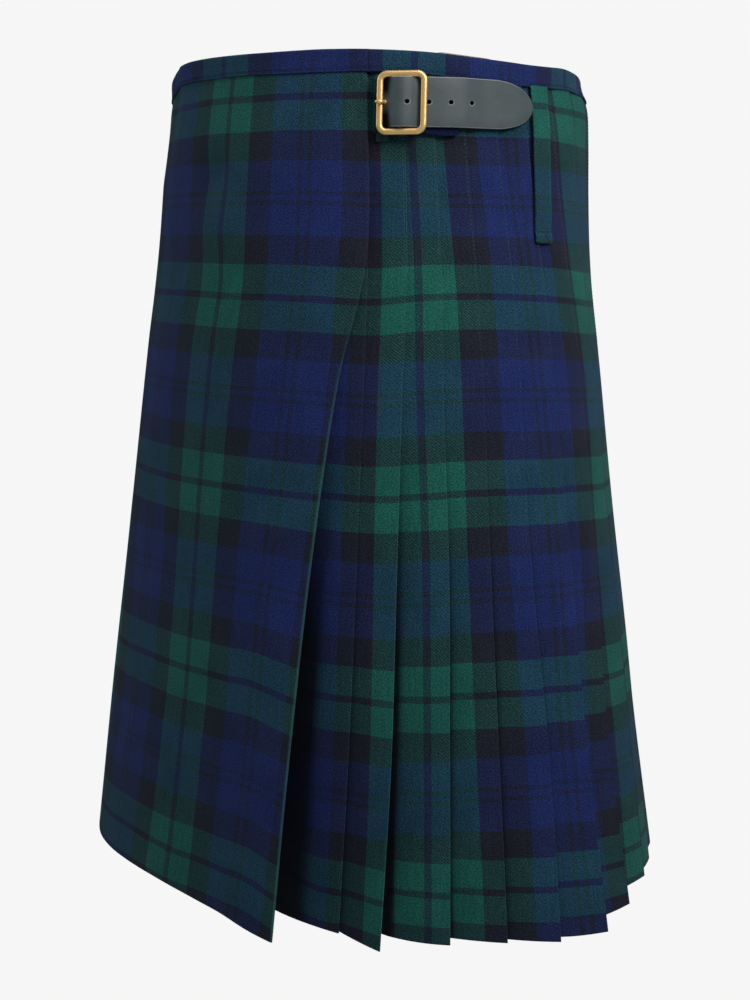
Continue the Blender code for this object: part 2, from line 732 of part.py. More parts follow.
# Wearer's left: the under-apron's strap comes out of a bound slit and through the buckle.
LOW, HIGH, BAR = 5.3, 8.4, 4.7
AFTER = [(-9.7, 4.0), (-6.0, 6.8), (0.0, 9.1), (5.0, 8.2), (9.3, 5.9), (12.2, 4.85), (16.0, 4.65),
         (24.0, 4.6), (32.0, 4.6), (40.0, 4.3), (48.0, 3.0), (56.0, 2.3), (70.0, 2.5), (86.0, 3.7),
         (93.2, 4.4)]


def fastened(end, start, middle, side):
    """Strap, buckle, pin and tab at one hip."""
    body = strap("strap-" + end, start + AFTER, middle, side)
    buckle("buckle-" + end, LOW, HIGH, BAR, middle, side)
    tongue("buckle-pin-" + end, LOW, HIGH, BAR, middle, side)
    cut(body, tube("pin-way-" + end, shank_path(LOW, HIGH, BAR), (1.25, 1.35), middle, side,
                   leather, sides=6, up=(0.0, 0.0, 1.0)))
    tab("buckle-tab-" + end, 37.0, BAR, middle, side)
    belt_loop("belt-loop-" + end, middle, side)


fastened("left", [(-15.0, 1.5), (-13.7, 1.55), (-12.0, 2.2)], LEFT_AZ, 1)
bound = box("slit-binding", -18.8, -8.6, 0.1, 1.0, -27.0, 18.4, LEFT_AZ, 1, wool)
cut(bound, box("slit", -17.2, -11.4, -2.0, 3.0, -18.0, 17.0, LEFT_AZ, 1, wool))

# Wearer's right: the over-apron's strap is sewn to its free edge.
fastened("right", [(-77.0, 6.0), (-66.0, 6.0), (-57.0, 5.7), (-49.0, 3.6), (-40.0, 2.0),
                   (-28.0, 1.4), (-16.0, 1.5), (-12.0, 2.2)], RIGHT_AZ, -1)
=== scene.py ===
import math
import bpy
import numpy as np
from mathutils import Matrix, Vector


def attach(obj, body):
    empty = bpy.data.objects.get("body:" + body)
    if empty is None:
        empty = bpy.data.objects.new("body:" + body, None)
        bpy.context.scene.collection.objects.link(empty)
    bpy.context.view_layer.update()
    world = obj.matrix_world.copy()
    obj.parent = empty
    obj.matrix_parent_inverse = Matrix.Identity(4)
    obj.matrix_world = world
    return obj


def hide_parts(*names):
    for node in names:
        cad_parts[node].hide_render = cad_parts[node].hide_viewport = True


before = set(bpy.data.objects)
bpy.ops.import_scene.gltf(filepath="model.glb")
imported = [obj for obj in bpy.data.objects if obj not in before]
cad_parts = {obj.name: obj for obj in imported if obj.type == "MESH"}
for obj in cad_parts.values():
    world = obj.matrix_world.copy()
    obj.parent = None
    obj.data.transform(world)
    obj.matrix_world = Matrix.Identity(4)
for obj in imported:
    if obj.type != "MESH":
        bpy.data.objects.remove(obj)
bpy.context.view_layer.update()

# ------------------------------------------------------------------------------------------
# Camera, light and backdrop.
# The kilt hangs filled out, seen from its left front and a little above the strap's height,
# against an even pale ground.
CAM_REACH, CAM_HEIGHT = 1.165, -0.100                # metres, from the middle of the waist
CAM_TURN, CAM_DIP = math.radians(50.0), math.radians(9.0)
scene = bpy.context.scene
cam_data = bpy.data.cameras.new("camera")
cam = bpy.data.objects.new("camera", cam_data)
scene.collection.objects.link(cam)
scene.camera = cam
cam_data.lens, cam_data.sensor_width = 54.54, 36.0
cam_data.clip_start, cam_data.clip_end = 0.05, 30.0
cam.location = (CAM_REACH * math.sin(CAM_TURN), -CAM_REACH * math.cos(CAM_TURN), CAM_HEIGHT)
look = Vector((-math.sin(CAM_TURN) * math.cos(CAM_DIP), math.cos(CAM_TURN) * math.cos(CAM_DIP),
               -math.sin(CAM_DIP)))
cam.rotation_mode = "QUATERNION"
cam.rotation_quaternion = look.to_track_quat("-Z", "Y")
scene.view_settings.view_transform = "Standard"

# Cool fill light from all round; the camera alone sees an even pale grey.
world = bpy.data.worlds.new("studio")
scene.world = world
world.use_nodes = True
sky = world.node_tree
sky.nodes.clear()
sky_out = sky.nodes.new("ShaderNodeOutputWorld")
sky_mix = sky.nodes.new("ShaderNodeMixShader")
ray = sky.nodes.new("ShaderNodeLightPath")
sky.links.new(ray.outputs["Is Camera Ray"], sky_mix.inputs[0])
for slot, colour, strength in ((1, (0.74, 0.90, 1.0, 1), 0.19), (2, (0.922, 0.922, 0.922, 1), 1.0)):
    shade = sky.nodes.new("ShaderNodeBackground")
    shade.inputs[0].default_value, shade.inputs[1].default_value = colour, strength
    sky.links.new(shade.outputs[0], sky_mix.inputs[slot])
sky.links.new(sky_mix.outputs[0], sky_out.inputs[0])
KILT_MIDDLE = Vector((0, 0, -0.25))


def soft_light(name, azimuth, height, reach, size, watts, colour=(1, 1, 1)):
    """A round lamp at a height and a reach from the axis, turned to the middle of the kilt."""
    data = bpy.data.lights.new(name, "AREA")
    data.shape, data.size, data.energy, data.color = "DISK", size, watts, colour
    ob = bpy.data.objects.new(name, data)
    a = math.radians(azimuth)
    ob.location = (reach * math.sin(a), -reach * math.cos(a), height)
    ob.rotation_mode = "QUATERNION"
    ob.rotation_quaternion = (KILT_MIDDLE - ob.location).to_track_quat("-Z", "Y")
    scene.collection.objects.link(ob)


soft_light("key", 86.0, 0.70, 1.5, 0.7, 18, (1.0, 0.95, 0.94))
soft_light("top", 58.0, 1.25, 0.95, 0.5, 7, (1.0, 0.97, 0.95))
soft_light("front", -30.0, 0.50, 1.20, 0.9, 3.7, (0.88, 0.95, 1.0))
soft_light("low", 50.0, -1.0, 1.3, 0.8, 1.0)
soft_light("back", 230.0, 0.9, 2.4, 1.4, 22)


def new_material(name, **values):
    """A material and its node tree, with constant values set on its Principled shader."""
    material = bpy.data.materials.new(name)
    material.use_nodes = True
    skin = material.node_tree.nodes["Principled BSDF"]
    for socket, value in values.items():
        skin.inputs[socket.replace("_", " ")].default_value = value
    return material, material.node_tree, skin


FLOOR_HALF, FLOOR_Z = 6, -2.4
floor_mesh = bpy.data.meshes.new("floor")
floor_corners = [(x * FLOOR_HALF, y * FLOOR_HALF, FLOOR_Z) for x, y in ((-1, -1), (1, -1), (1, 1), (-1, 1))]
floor_mesh.from_pydata(floor_corners, [], [(0, 1, 2, 3)])
floor = bpy.data.objects.new("floor", floor_mesh)
scene.collection.objects.link(floor)
floor_mesh.materials.append(new_material("backdrop", Base_Color=(0.9, 0.9, 0.9, 1), Roughness=1.0)[0])
floor.visible_camera = False

# ------------------------------------------------------------------------------------------
# Over-apron.
# The flat front panel, charted with the sett and woven as a two-and-two twill; its left
# edge is pressed and turned under, and it hangs from the waistband in one soft sweep.
MM = 0.001
HEM = -560.0                           # millimetres, as all sizes below; 0 is the straps' middle
WALL, FOLD, TUCK = 0.7, 0.85, 0.30     # cloth, layer to layer at a pressed fold, tuck of a pleat
FACE_OUT = 0.45                        # the cloth's face outside the body line
EDGE_DROP = 1.6                        # the cloth's raw top edge below the waistband's

# Body line: height, half width, depths to the front and to the back, shift to the back.
BODY = (
    (30.0, 167.0, 134.0, 137.0, -1.0),
    (-30.0, 167.0, 140.0, 146.0, -3.0),
    (-150.0, 179.0, 147.0, 153.0, -5.0),
    (-300.0, 196.0, 156.0, 177.0, -9.0),
    (-440.0, 215.0, 169.0, 194.0, -9.0),
    (HEM, 232.0, 177.0, 214.0, -8.0),
)
# Azimuths are in degrees from the front, towards the wearer's left.  At these heights: the
# apron's pressed edge, its other edge, and the width turned under at the pressed one.
EDGE_Z = (20.0, -100.0, -180.0, -300.0, -430.0, HEM)
APRON_EDGE = (48.5, 49.3, 43.6, 38.8, 35.0, 31.4)
APRON_FREE = (-62.0, -62.0, -61.0, -60.0, -58.5, -57.0)
APRON_TURN = (13.0, 15.0, 20.0, 27.0, 36.0, 44.0)


def through(stations, values, z):
    """Smooth curve through a short table, level past its ends."""
    s, v = np.asarray(stations, float), np.asarray(values, float)
    if s[0] > s[-1]:
        s, v = s[::-1], v[::-1]
    z = np.clip(z, s[0], s[-1])
    step = np.diff(v) / np.diff(s)
    slope = np.concatenate([step[:1], (step[1:] + step[:-1]) / 2, step[-1:]])
    i = np.clip(np.searchsorted(s, z) - 1, 0, len(s) - 2)
    h = s[i + 1] - s[i]
    t = (z - s[i]) / h
    return (v[i] * (1 + 2 * t) * (1 - t) ** 2 + v[i + 1] * t * t * (3 - 2 * t)
            + h * (slope[i] * t * (1 - t) ** 2 - slope[i + 1] * t * t * (1 - t)))


def ease(x, low, high):
    """0 below low, 1 above high, and smooth between."""
    t = np.clip((np.asarray(x, float) - low) / (high - low), 0, 1)
    return t * t * (3 - 2 * t)


def drop(z):
    """Share of the way down from the straps to the hem."""
    return np.clip(np.asarray(z, float) / HEM, 0, 1)


def wrap(az, most=300.0):
    """The same azimuth, written as a negative one past the given limit."""
    return np.where(np.asarray(az) > most, np.asarray(az) - 360.0, az)


# Height of the rim round the waist, over a level that tilts evenly towards the front.
RIM_LEVEL, RIM_TILT = 28.5, 8.5
RIM_AZ = (-100.0, -62.0, -50.0, -46.0, -42.0, -38.0, -33.0, -28.0, -20.0, -10.0, 0.0, 10.0, 20.0, 45.0, 60.0,
          73.0, 85.0, 91.0, 97.0, 104.0, 111.0, 120.0, 130.0, 150.0)
RIM_UP = (0.0, 0.0, -2.0, -2.2, 0.6, 3.4, 4.2, 3.6, 3.4, 2.6, 1.7, 0.9, 0.35, 0.5, 0.0,
          -1.1, -0.6, 0.0, 1.2, 3.0, 3.3, 3.0, 2.0, 0.0)
AROUND = 220.0                         # azimuths past this one belong to the wearer's right


def rim(az):
    """Height of the top edge of the waistband."""
    return RIM_LEVEL + RIM_TILT * np.cos(np.radians(az)) + through(RIM_AZ, RIM_UP, wrap(az, AROUND))


FRONT_ROUND, BACK_ROUND = 2.2, 2.1     # 2 is an ellipse, more is squarer


def section(az, z, squareness, table=BODY):
    """Plan point and outward normal of a body line."""
    z_col = [row[0] for row in table]
    half, front, back, shift = (through(z_col, [row[i] for row in table], z) for i in (1, 2, 3, 4))
    c, s = np.sin(np.radians(az)), -np.cos(np.radians(az))
    n = np.where(s < 0, squareness, BACK_ROUND)
    deep = np.where(s < 0, front, back)
    u, v = np.abs(c / half), np.abs(s / deep)
    r = (u ** n + v ** n) ** (-1 / n)
    nx = np.sign(c) * (u * r) ** (n - 1) / half
    ny = np.sign(s) * (v * r) ** (n - 1) / deep
    long = np.hypot(nx, ny)
    return np.stack([r * c, r * s + shift], -1), np.stack([nx / long, ny / long], -1)


# How far the wearer's right and left sides are drawn in (or out, below 0) at each height.
TRIM_Z = (28.0, 22.0, 17.0, 11.0, 5.0, -12.0, -55.0, -90.0, -124.0, -160.0, -282.0, -376.0, -449.0, HEM)
TRIM_RIGHT = (0.3, 0.9, 0.9, 0.6, 0.4, 0.5, 1.9, 2.4, 1.9, 0.9, 1.1, 2.0, 2.3, 1.6)
TRIM_LEFT = (5.6, 5.1, 3.9, 1.1, -0.2, -0.6, 0.7, 1.4, 1.1, 0.1, -1.1, -3.3, -3.7, -3.7)


def right_trim(az, z):
    """How far the line is drawn in at the wearer's right hip and down that side."""
    a = -wrap(az, AROUND)
    drawn = 5.5 * ease(a, 24.0, 44.0) * ease(z, -48.0, 4.0)
    return (drawn + ease(a, -15.0, 22.0) * through(TRIM_Z, TRIM_RIGHT, z)) * (1 - ease(a, 62.0, 98.0))


def apron_line(az, z):
    """Plan point and outward normal of the line that the over-apron follows."""
    p, n = section(az, z, FRONT_ROUND + 0.6 * drop(z))
    return p - n * right_trim(az, z)[..., None], n


def pleat_line(az, z):
    """The same for the pleats, drawn in at the wearer's left by the waistband."""
    p, n = section(az, z, FRONT_ROUND - 0.25 * drop(z))
    side = ease(az, 96.0, 118.0) * (1 - ease(az, 150.0, 190.0))
    hip = 5.6 * ease(az, 62.0, 90.0) * (1 - ease(az, 120.0, 150.0)) * ease(z, -22.0, 26.0)
    hip = hip * (1 - side) + side * through(TRIM_Z, TRIM_LEFT, z)
    return p - n * (hip + right_trim(az, z))[..., None], n


def apron_lift(az, z):
    """How far the apron's face stands off the body line, over the pleats at either side."""
    left = 0.6 * ease(az, 30.0, 44.0) * (1 - ease(-z, 150.0, 320.0))
    return left + (1.8 + 3.2 * ease(z, -40.0, 8.0)) * ease(-az, 34.0, 46.0) + FACE_OUT


# The dark weft line in the middle of each green band: its place in the sett, and its height at
# each of these azimuths.  Below them, how far the hem lies over its level.
LINE_AZ = (-60.0, -38.0, -27.0, -15.0, -5.0, 5.0, 15.0, 24.0, 38.0, 51.0, 62.0, 72.0, 81.0, 91.0, 102.0,
           113.0, 125.0, 150.0, 230.0, 300.0)
LINES = (
    (0.0, (7.8, 8.7, 8.2, 7.9, 8.1, 7.6, 6.7, 6.6, 5.5, 4.3, 1.4, -0.4,
           -0.1, 1.2, 0.1, -0.6, -1.0, 1.0, 2.0, 3.0)),
    (-133.0, (-121.6, -123.2, -123.3, -123.4, -123.8, -124.5, -124.7, -124.8, -125.7, -127.3, -124.2, -123.6,
              -124.2, -125.7, -128.1, -130.6, -130.9, -129.0, -127.0, -127.0)),
    (-266.0, (-256.3, -256.5, -256.3, -255.8, -255.4, -254.7, -254.2, -254.1, -254.5, -255.9, -253.7, -252.1,
              -252.6, -254.6, -256.6, -260.0, -260.2, -259.0, -258.0, -258.0)),
    (-399.0, (-396.1, -395.4, -392.6, -390.8, -389.9, -388.0, -386.9, -385.4, -391.2, -391.4, -390.3, -387.9,
              -388.2, -389.4, -392.7, -397.3, -396.0, -394.0, -390.0, -390.0)),
    (-532.0, (-534.0, -533.9, -530.1, -528.8, -528.2, -525.0, -523.2, -521.6, -529.5, -526.9, -525.4, -524.5,
              -523.7, -523.6, -525.9, -528.4, -529.0, -526.0, -524.0, -524.0)),
)
HEM_RISE = (0.3, -0.6, 2.1, 3.5, 3.5, 3.7, 4.1, 2.3, 1.0, -0.3, -0.6, -0.1,
            -0.1, -0.2, 0.9, 4.4, 5.0, 2.0, 3.0, 1.0)


def hem_z(az):
    """Height of the hem."""
    return HEM + through(LINE_AZ, HEM_RISE, wrap(az))


def weft_mm(az, z):
    """Where a point lies up the cloth, in millimetres of the sett."""
    a = wrap(az)
    heights = np.stack([through(LINE_AZ, row, a) for _, row in LINES], -1)
    marks = np.array([mark for mark, _ in LINES])
    flat_h, flat_z = heights.reshape(-1, len(LINES)), np.broadcast_to(z, a.shape).reshape(-1)
    out = np.empty(len(flat_z))
    for k in range(len(LINES) - 1):
        hi, lo = flat_h[:, k], flat_h[:, k + 1]
        value = marks[k] + (flat_z - hi) / (lo - hi) * (marks[k + 1] - marks[k])
        here = (flat_z <= hi) if k else np.ones(len(flat_z), bool)
        out[here] = value[here]
    return out.reshape(a.shape)


def with_height(p, z):
    """Plan points and their heights as points in space."""
    return np.concatenate([p, z[..., None]], -1)


def rows_down(count, last=0.998):
    """Shares of the way down a piece, even but for a last narrow row along its hem."""
    return np.concatenate([np.linspace(0, last, count - 1), [1.0]])


def shell(name, grid, cloth, mat, node=None, edge=None, deep=None):
    """A sheet of cloth through a grid of points, rows from the top down: its place on the
    cloth in millimetres is a UV map; its pale edges (wear and painted highlight) and painted fold shade are
    marked."""
    grid = np.asarray(grid, float)
    rows, cols = grid.shape[:2]
    i = np.arange(rows * cols).reshape(rows, cols)
    quads = np.stack([i[1:, :-1], i[1:, 1:], i[:-1, 1:], i[:-1, :-1]], -1).reshape(-1, 4)
    me = bpy.data.meshes.new(name)
    me.from_pydata((grid.reshape(-1, 3) * MM).tolist(), [], quads.tolist())
    uv = me.uv_layers.new(name="cloth")
    c = np.asarray(cloth, float)
    corner = np.stack([c[1:, :-1], c[1:, 1:], c[:-1, 1:], c[:-1, :-1]], 2).reshape(-1, 2)
    uv.data.foreach_set("uv", corner.astype(np.float32).ravel())
    return dress(me, mat, node, edge, deep, WALL)


def dress(me, mat, node=None, edge=None, deep=None, wall=0.0):
    """Smooth shading, material and place in the model for a new mesh."""
    # edge marks paler edges, partly wear and partly painted highlight; deep marks painted shade
    for kind, marks in (("edge", edge), ("deep", deep)):
        if marks is not None:
            mark = me.attributes.new(kind, "FLOAT", "POINT")
            mark.data.foreach_set("value", np.asarray(marks, np.float32).ravel())
    me.polygons.foreach_set("use_smooth", np.ones(len(me.polygons), bool))
    me.materials.append(mat)
    ob = bpy.data.objects.new(me.name, me)
    scene.collection.objects.link(ob)
    if wall:
        thick = ob.modifiers.new("cloth thickness", "SOLIDIFY")
        thick.thickness, thick.offset = wall * MM, -1.0
    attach(ob, "root")
    if node:
        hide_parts(node)
    return ob


def group(name, ins, outs):
    """A shader node group, from the names and kinds of its inputs and outputs."""
    g = bpy.data.node_groups.new(name, "ShaderNodeTree")
    for n, kind in ins:
        g.interface.new_socket(n, in_out="INPUT", socket_type="NodeSocket" + kind)
    for n, kind in outs:
        g.interface.new_socket(n, in_out="OUTPUT", socket_type="NodeSocket" + kind)
    return g, g.nodes.new("NodeGroupInput"), g.nodes.new("NodeGroupOutput")


def use_group(tree, shared, **values):
    """A shared group in a material, with that material's own values."""
    n = tree.nodes.new("ShaderNodeGroup")
    n.node_tree = shared
    for socket, value in values.items():
        n.inputs[socket.replace("_", " ")].default_value = value
    return n


def math_node(tree, op, a, b=None, c=None):
    n = tree.nodes.new("ShaderNodeMath")
    n.operation = op
    for slot, value in enumerate((a, b, c)):
        if value is None:
            continue
        if isinstance(value, (int, float)):
            n.inputs[slot].default_value = value
        else:
            tree.links.new(value, n.inputs[slot])
    return n.outputs[0]


def times(tree, a, b):
    return math_node(tree, "MULTIPLY", a, b)


def range_node(tree, value, a, b, c=0.0, d=1.0):
    """A value from a to b, as one from c to d."""
    n = tree.nodes.new("ShaderNodeMapRange")
    tree.links.new(value, n.inputs[0])
    for slot, v in zip((1, 2, 3, 4), (a, b, c, d)):
        n.inputs[slot].default_value = v
    return n.outputs[0]


def mix_node(tree, fac, a, b, how="MIX"):
    n = tree.nodes.new("ShaderNodeMix")
    n.data_type, n.blend_type = "RGBA", how
    for slot, value in ((0, fac), (6, a), (7, b)):
        if isinstance(value, (int, float)):
            n.inputs[slot].default_value = value
        elif isinstance(value, tuple):
            n.inputs[slot].default_value = (*value, 1)
        else:
            tree.links.new(value, n.inputs[slot])
    return n.outputs[2]


def varied(tree, colour, vector, noise, low, high):
    """A colour made darker and lighter by noise: its scale, detail and roughness are given."""
    shade = range_node(tree, noise_node(tree, vector, *noise), 0.3, 0.7, low, high)
    return mix_node(tree, 1.0, colour, shade, "MULTIPLY")


def noise_node(tree, vector, scale, detail=2.0, rough=0.5):
    n = tree.nodes.new("ShaderNodeTexNoise")
    n.inputs["Scale"].default_value, n.inputs["Detail"].default_value = scale, detail
    n.inputs["Roughness"].default_value = rough
    tree.links.new(vector, n.inputs["Vector"])
    return n.outputs[0]


def cloth_place(tree):
    """A point's place on the flat cloth, in millimetres."""
    n = tree.nodes.new("ShaderNodeUVMap")
    n.uv_map = "cloth"
    return n.outputs[0]


def in_parts(tree, vector):
    """The first two parts of a vector."""
    n = tree.nodes.new("ShaderNodeSeparateXYZ")
    tree.links.new(vector, n.inputs[0])
    return n.outputs[0], n.outputs[1]


def attribute_node(tree, name):
    n = tree.nodes.new("ShaderNodeAttribute")
    n.attribute_name = name
    return n.outputs["Fac"]


def bump_node(tree, height, distance, strength=0.5):
    n = tree.nodes.new("ShaderNodeBump")
    n.inputs["Strength"].default_value, n.inputs["Distance"].default_value = strength, distance
    tree.links.new(height, n.inputs["Height"])
    return n.outputs[0]


# The sett, in millimetres from the middle of a green band to the middle of the next.
BLACK, BLUE, GREEN = (0.0115, 0.0100, 0.0185), (0.0105, 0.0175, 0.0970), (0.0100, 0.0940, 0.0690)
LINE = (0.0110, 0.0125, 0.0420)        # the fine black lines, half sunk among the blue yarns
GREEN_LINE = 2.1                       # half of the black line in the middle of the green
SETT = ((BLACK, GREEN_LINE), (GREEN, 20.0), (BLACK, 20.0), (BLUE, 19.8), (LINE, 2.7), (BLUE, 4.0),
        (LINE, 2.7), (BLUE, 19.8), (BLACK, 20.0), (GREEN, 20.0), (BLACK, GREEN_LINE))
REPEAT = sum(width for _, width in SETT)

sett, sett_in, sett_out = group("sett", [("mm", "Float"), ("Sunk line", "Float")], [("Color", "Color")])
turns = math_node(sett, "FRACT", math_node(sett, "DIVIDE", sett_in.outputs[0], REPEAT))
chart = sett.nodes.new("ShaderNodeValToRGB")
chart.color_ramp.interpolation = "CONSTANT"
stops = chart.color_ramp.elements
stops.remove(stops[1])
stops[0].position, stops[0].color = 0.0, (*SETT[0][0], 1)
at = SETT[0][1]
for colour, width in SETT[1:]:
    stops.new(at / REPEAT).color = (*colour, 1)
    at += width
sett.links.new(turns, chart.inputs[0])
# the single line in the green, which lies less proud in the warp
from_line = math_node(sett, "PINGPONG", turns, 0.5)
on_line = times(sett, math_node(sett, "LESS_THAN", from_line, GREEN_LINE / REPEAT), sett_in.outputs[1])
sett.links.new(mix_node(sett, on_line, chart.outputs[0], (0.011, 0.030, 0.042)), sett_out.inputs[0])

# The weave: warp and weft yarns come to the face in turn, along fine slanting ribs.
twill, twill_in, twill_out = group("twill", [("Cloth", "Vector"), ("Pitch", "Float")],
                                   [("Warp", "Float"), ("Height", "Float")])
YARN = 0.7                             # from one warp yarn to the next, in millimetres
place = twill_in.outputs[0]
across, down = in_parts(twill, place)
wander = noise_node(twill, place, 0.42)
uneven = noise_node(twill, place, 1.3, 3.0, 0.7)
slant = math_node(twill, "ADD", math_node(twill, "ADD", across, down), times(twill, wander, 2.0))
rib = math_node(twill, "PINGPONG", math_node(twill, "DIVIDE", slant, twill_in.outputs[1]), 0.5)
face = math_node(twill, "ADD", rib, math_node(twill, "MULTIPLY_ADD", uneven, 1.00, -0.50))
twill.links.new(range_node(twill, face, 0.10, 0.40, 0.14, 0.88), twill_out.inputs[0])
yarn = math_node(twill, "PINGPONG", math_node(twill, "DIVIDE", across, YARN), 0.5)
twill.links.new(math_node(twill, "MULTIPLY_ADD", yarn, 0.8, times(twill, rib, 0.5)), twill_out.inputs[1])

# Loose fibres on the face, and slow changes of tone from yarn to yarn and over the cloth.
fibre, fibre_in, fibre_out = group(
    "fibre", [("Cloth", "Vector"), ("Color", "Color"), ("Lint", "Color"), ("Amount", "Float")],
    [("Color", "Color"), ("Height", "Float")])
place = fibre_in.outputs[0]
fluff = noise_node(fibre, place, 1.5, 4.0, 0.75)
lint = times(fibre, range_node(fibre, fluff, 0.42, 0.80), fibre_in.outputs[3])
tone = mix_node(fibre, lint, fibre_in.outputs[1], fibre_in.outputs[2])
along_yarns = fibre.nodes.new("ShaderNodeMapping")
along_yarns.inputs["Scale"].default_value = (1.0, 0.05, 1.0)
fibre.links.new(place, along_yarns.inputs["Vector"])
tone = varied(fibre, tone, along_yarns.outputs[0], (0.9, 2.0), 0.90, 1.10)
tone = varied(fibre, tone, place, (0.95, 3.0, 0.7), 0.34, 1.74)        # from yarn to yarn
tone = varied(fibre, tone, place, (0.03, 3.0, 0.6), 0.88, 1.12)        # over the whole cloth
fibre.links.new(tone, fibre_out.inputs[0])
fibre.links.new(fluff, fibre_out.inputs[1])

wool, t, skin = new_material("wool twill", Roughness=0.9, Specular_IOR_Level=0.08, Sheen_Weight=0.07,
                             Sheen_Roughness=0.45, Sheen_Tint=(0.70, 0.85, 1.0, 1))
place = cloth_place(t)
across, down = in_parts(t, place)
warp, weft = use_group(t, sett, Sunk_line=0.60), use_group(t, sett, Sunk_line=0.10)
weave, nap = use_group(t, twill, Pitch=2.1), use_group(t, fibre, Lint=(0.05, 0.11, 0.15, 1), Amount=0.24)
for value, user in ((across, warp), (down, weft), (place, weave), (place, nap)):
    t.links.new(value, user.inputs[0])
# green yarns sink a little where they cross other colours
greens = []
for yarns in (warp, weft):
    split = t.nodes.new("ShaderNodeSeparateColor")
    t.links.new(yarns.outputs[0], split.inputs[0])
    greens.append(split.outputs[1])
apart = math_node(t, "ABSOLUTE", math_node(t, "SUBTRACT", *greens))
mixed = mix_node(t, weave.outputs[0], weft.outputs[0], warp.outputs[0])
mixed = mix_node(t, range_node(t, apart, 0.02, 0.07), mixed, (0.97, 0.78, 0.90), "MULTIPLY")
t.links.new(mixed, nap.inputs[1])
# paler along pressed edges, partly wear and partly a painted highlight where the edges catch the light;
# painted shade in the depths of folds
wear_and_highlight = times(t, attribute_node(t, "edge"), range_node(t, nap.outputs[1], 0.3, 0.7, 0.35, 0.75))
tone = mix_node(t, wear_and_highlight, nap.outputs[0], (0.030, 0.120, 0.125))
# the deep mark darkens the cloth towards near black: painted shade
t.links.new(mix_node(t, attribute_node(t, "deep"), tone, (0.0006, 0.0007, 0.0030)), skin.inputs["Base Color"])
relief = math_node(t, "MULTIPLY_ADD", nap.outputs[1], 0.8, weave.outputs[1])
t.links.new(bump_node(t, relief, 0.0004), skin.inputs["Normal"])

# Where the middle of the apron's green stripe hangs, and the cloth from there to the edge.
STRIPE_Z = (30.0, -20.0, -70.0, -120.0, -164.0, -376.0, -415.0, -512.0, -553.0)
STRIPE_AZ = (4.6, 4.6, 4.6, 4.7, 1.9, -1.3, -1.8, -5.7, -7.9)
STRIPE_TO_EDGE = (108.0, 108.0, 108.0, 108.0, 99.5, 98.5, 98.0, 100.0, 102.0)


def apron_sway(az, z):
    """Soft troughs and swells of the hanging apron, outwards."""
    low = ease(-z, 60.0, 420.0)
    sway = 1.6 * low * np.sin(np.radians(az * 3.1 + 40.0) + z * 0.004)
    sway = sway + 1.1 * low * np.sin(np.radians(az * 6.3 - 20.0) - z * 0.007)
    crease = 3.2 * np.exp(-((az + 3.0) / 8.0) ** 2) * np.exp(-((z + 44.0) / 17.0) ** 2)
    crease = crease - 2.4 * np.exp(-((az - 3.0) / 9.0) ** 2) * np.exp(-((z + 82.0) / 20.0) ** 2)
    return sway - crease


def run_along(p):
    """Length of surface from the first column, along each row."""
    step = np.hypot(*np.moveaxis(np.diff(p, axis=1), -1, 0))
    return np.concatenate([np.zeros((len(p), 1)), np.cumsum(step, 1)], 1)


TURN = np.linspace(-90.0, 90.0, 7)       # round a pressed fold
FOLD_R = (FOLD + WALL) / 2
APRON_TOP = 30.0
v = rows_down(150)[:, None]
z_mid = APRON_TOP + (HEM - APRON_TOP) * v
free, edge = through(EDGE_Z, APRON_FREE, z_mid), through(EDGE_Z, APRON_EDGE, z_mid)
mm = 2.6 + 1.4 * drop(z_mid)             # along the cloth, to a degree
t = np.concatenate([np.linspace(0, 0.955, 84), np.linspace(0.96, 1, 20)])[None, :]     # finer by the edge
face_az = free + (edge - FOLD_R / mm - free) * t
bend = np.radians(TURN)[None, :]
bend_az = edge + FOLD_R * (np.cos(bend) - 1) / mm
under = np.array([0.0, 0.15, 0.4, 0.7, 1.0])[None, :]
under_az = edge - FOLD_R / mm - under * through(EDGE_Z, APRON_TURN, z_mid) / mm
az = np.concatenate([face_az, bend_az, under_az], 1)
inward = np.concatenate([np.zeros_like(face_az), np.broadcast_to(FOLD_R * (1 + np.sin(bend)), bend_az.shape),
                         2 * FOLD_R + 0.3 * np.broadcast_to(under, under_az.shape)], 1)
top = rim(az) - EDGE_DROP
z = top + (hem_z(az) - top) * v
p, n = apron_line(az, z)
p = p + n * (apron_lift(az, z) + apron_sway(az, z) - inward)[..., None]
run = run_along(p)
stripe = through(STRIPE_Z, STRIPE_AZ, z_mid[:, 0])
face_cols, fold_mid = t.size, t.size + len(TURN) // 2
at_stripe = np.array([np.interp(s, a, r) for s, a, r in zip(stripe, face_az, run[:, :face_cols])])[:, None]
at_edge = run[:, fold_mid:fold_mid + 1]
u = (run - at_stripe) / (at_edge - at_stripe) * through(STRIPE_Z, STRIPE_TO_EDGE, z_mid)
# paler along the pressed edge below the hips: partly wear, partly a painted highlight where the fold catches
# the light
pressed = 0.85 * np.clip(1 - np.abs(at_edge - run - 0.4) / 2.1, 0, 1) * ease(-z, 120.0, 230.0)
cloth = np.stack([u, weft_mm(az, z)], -1)
over_apron = shell("over_apron", with_height(p, z), cloth, wool, "over-apron", pressed)

# ------------------------------------------------------------------------------------------
# Pleats.
# Knife pleats laid to the sett, pressed hard and stitched down over the hips, then left to
# open towards the hem; three lengths of cloth, joined where no join shows.

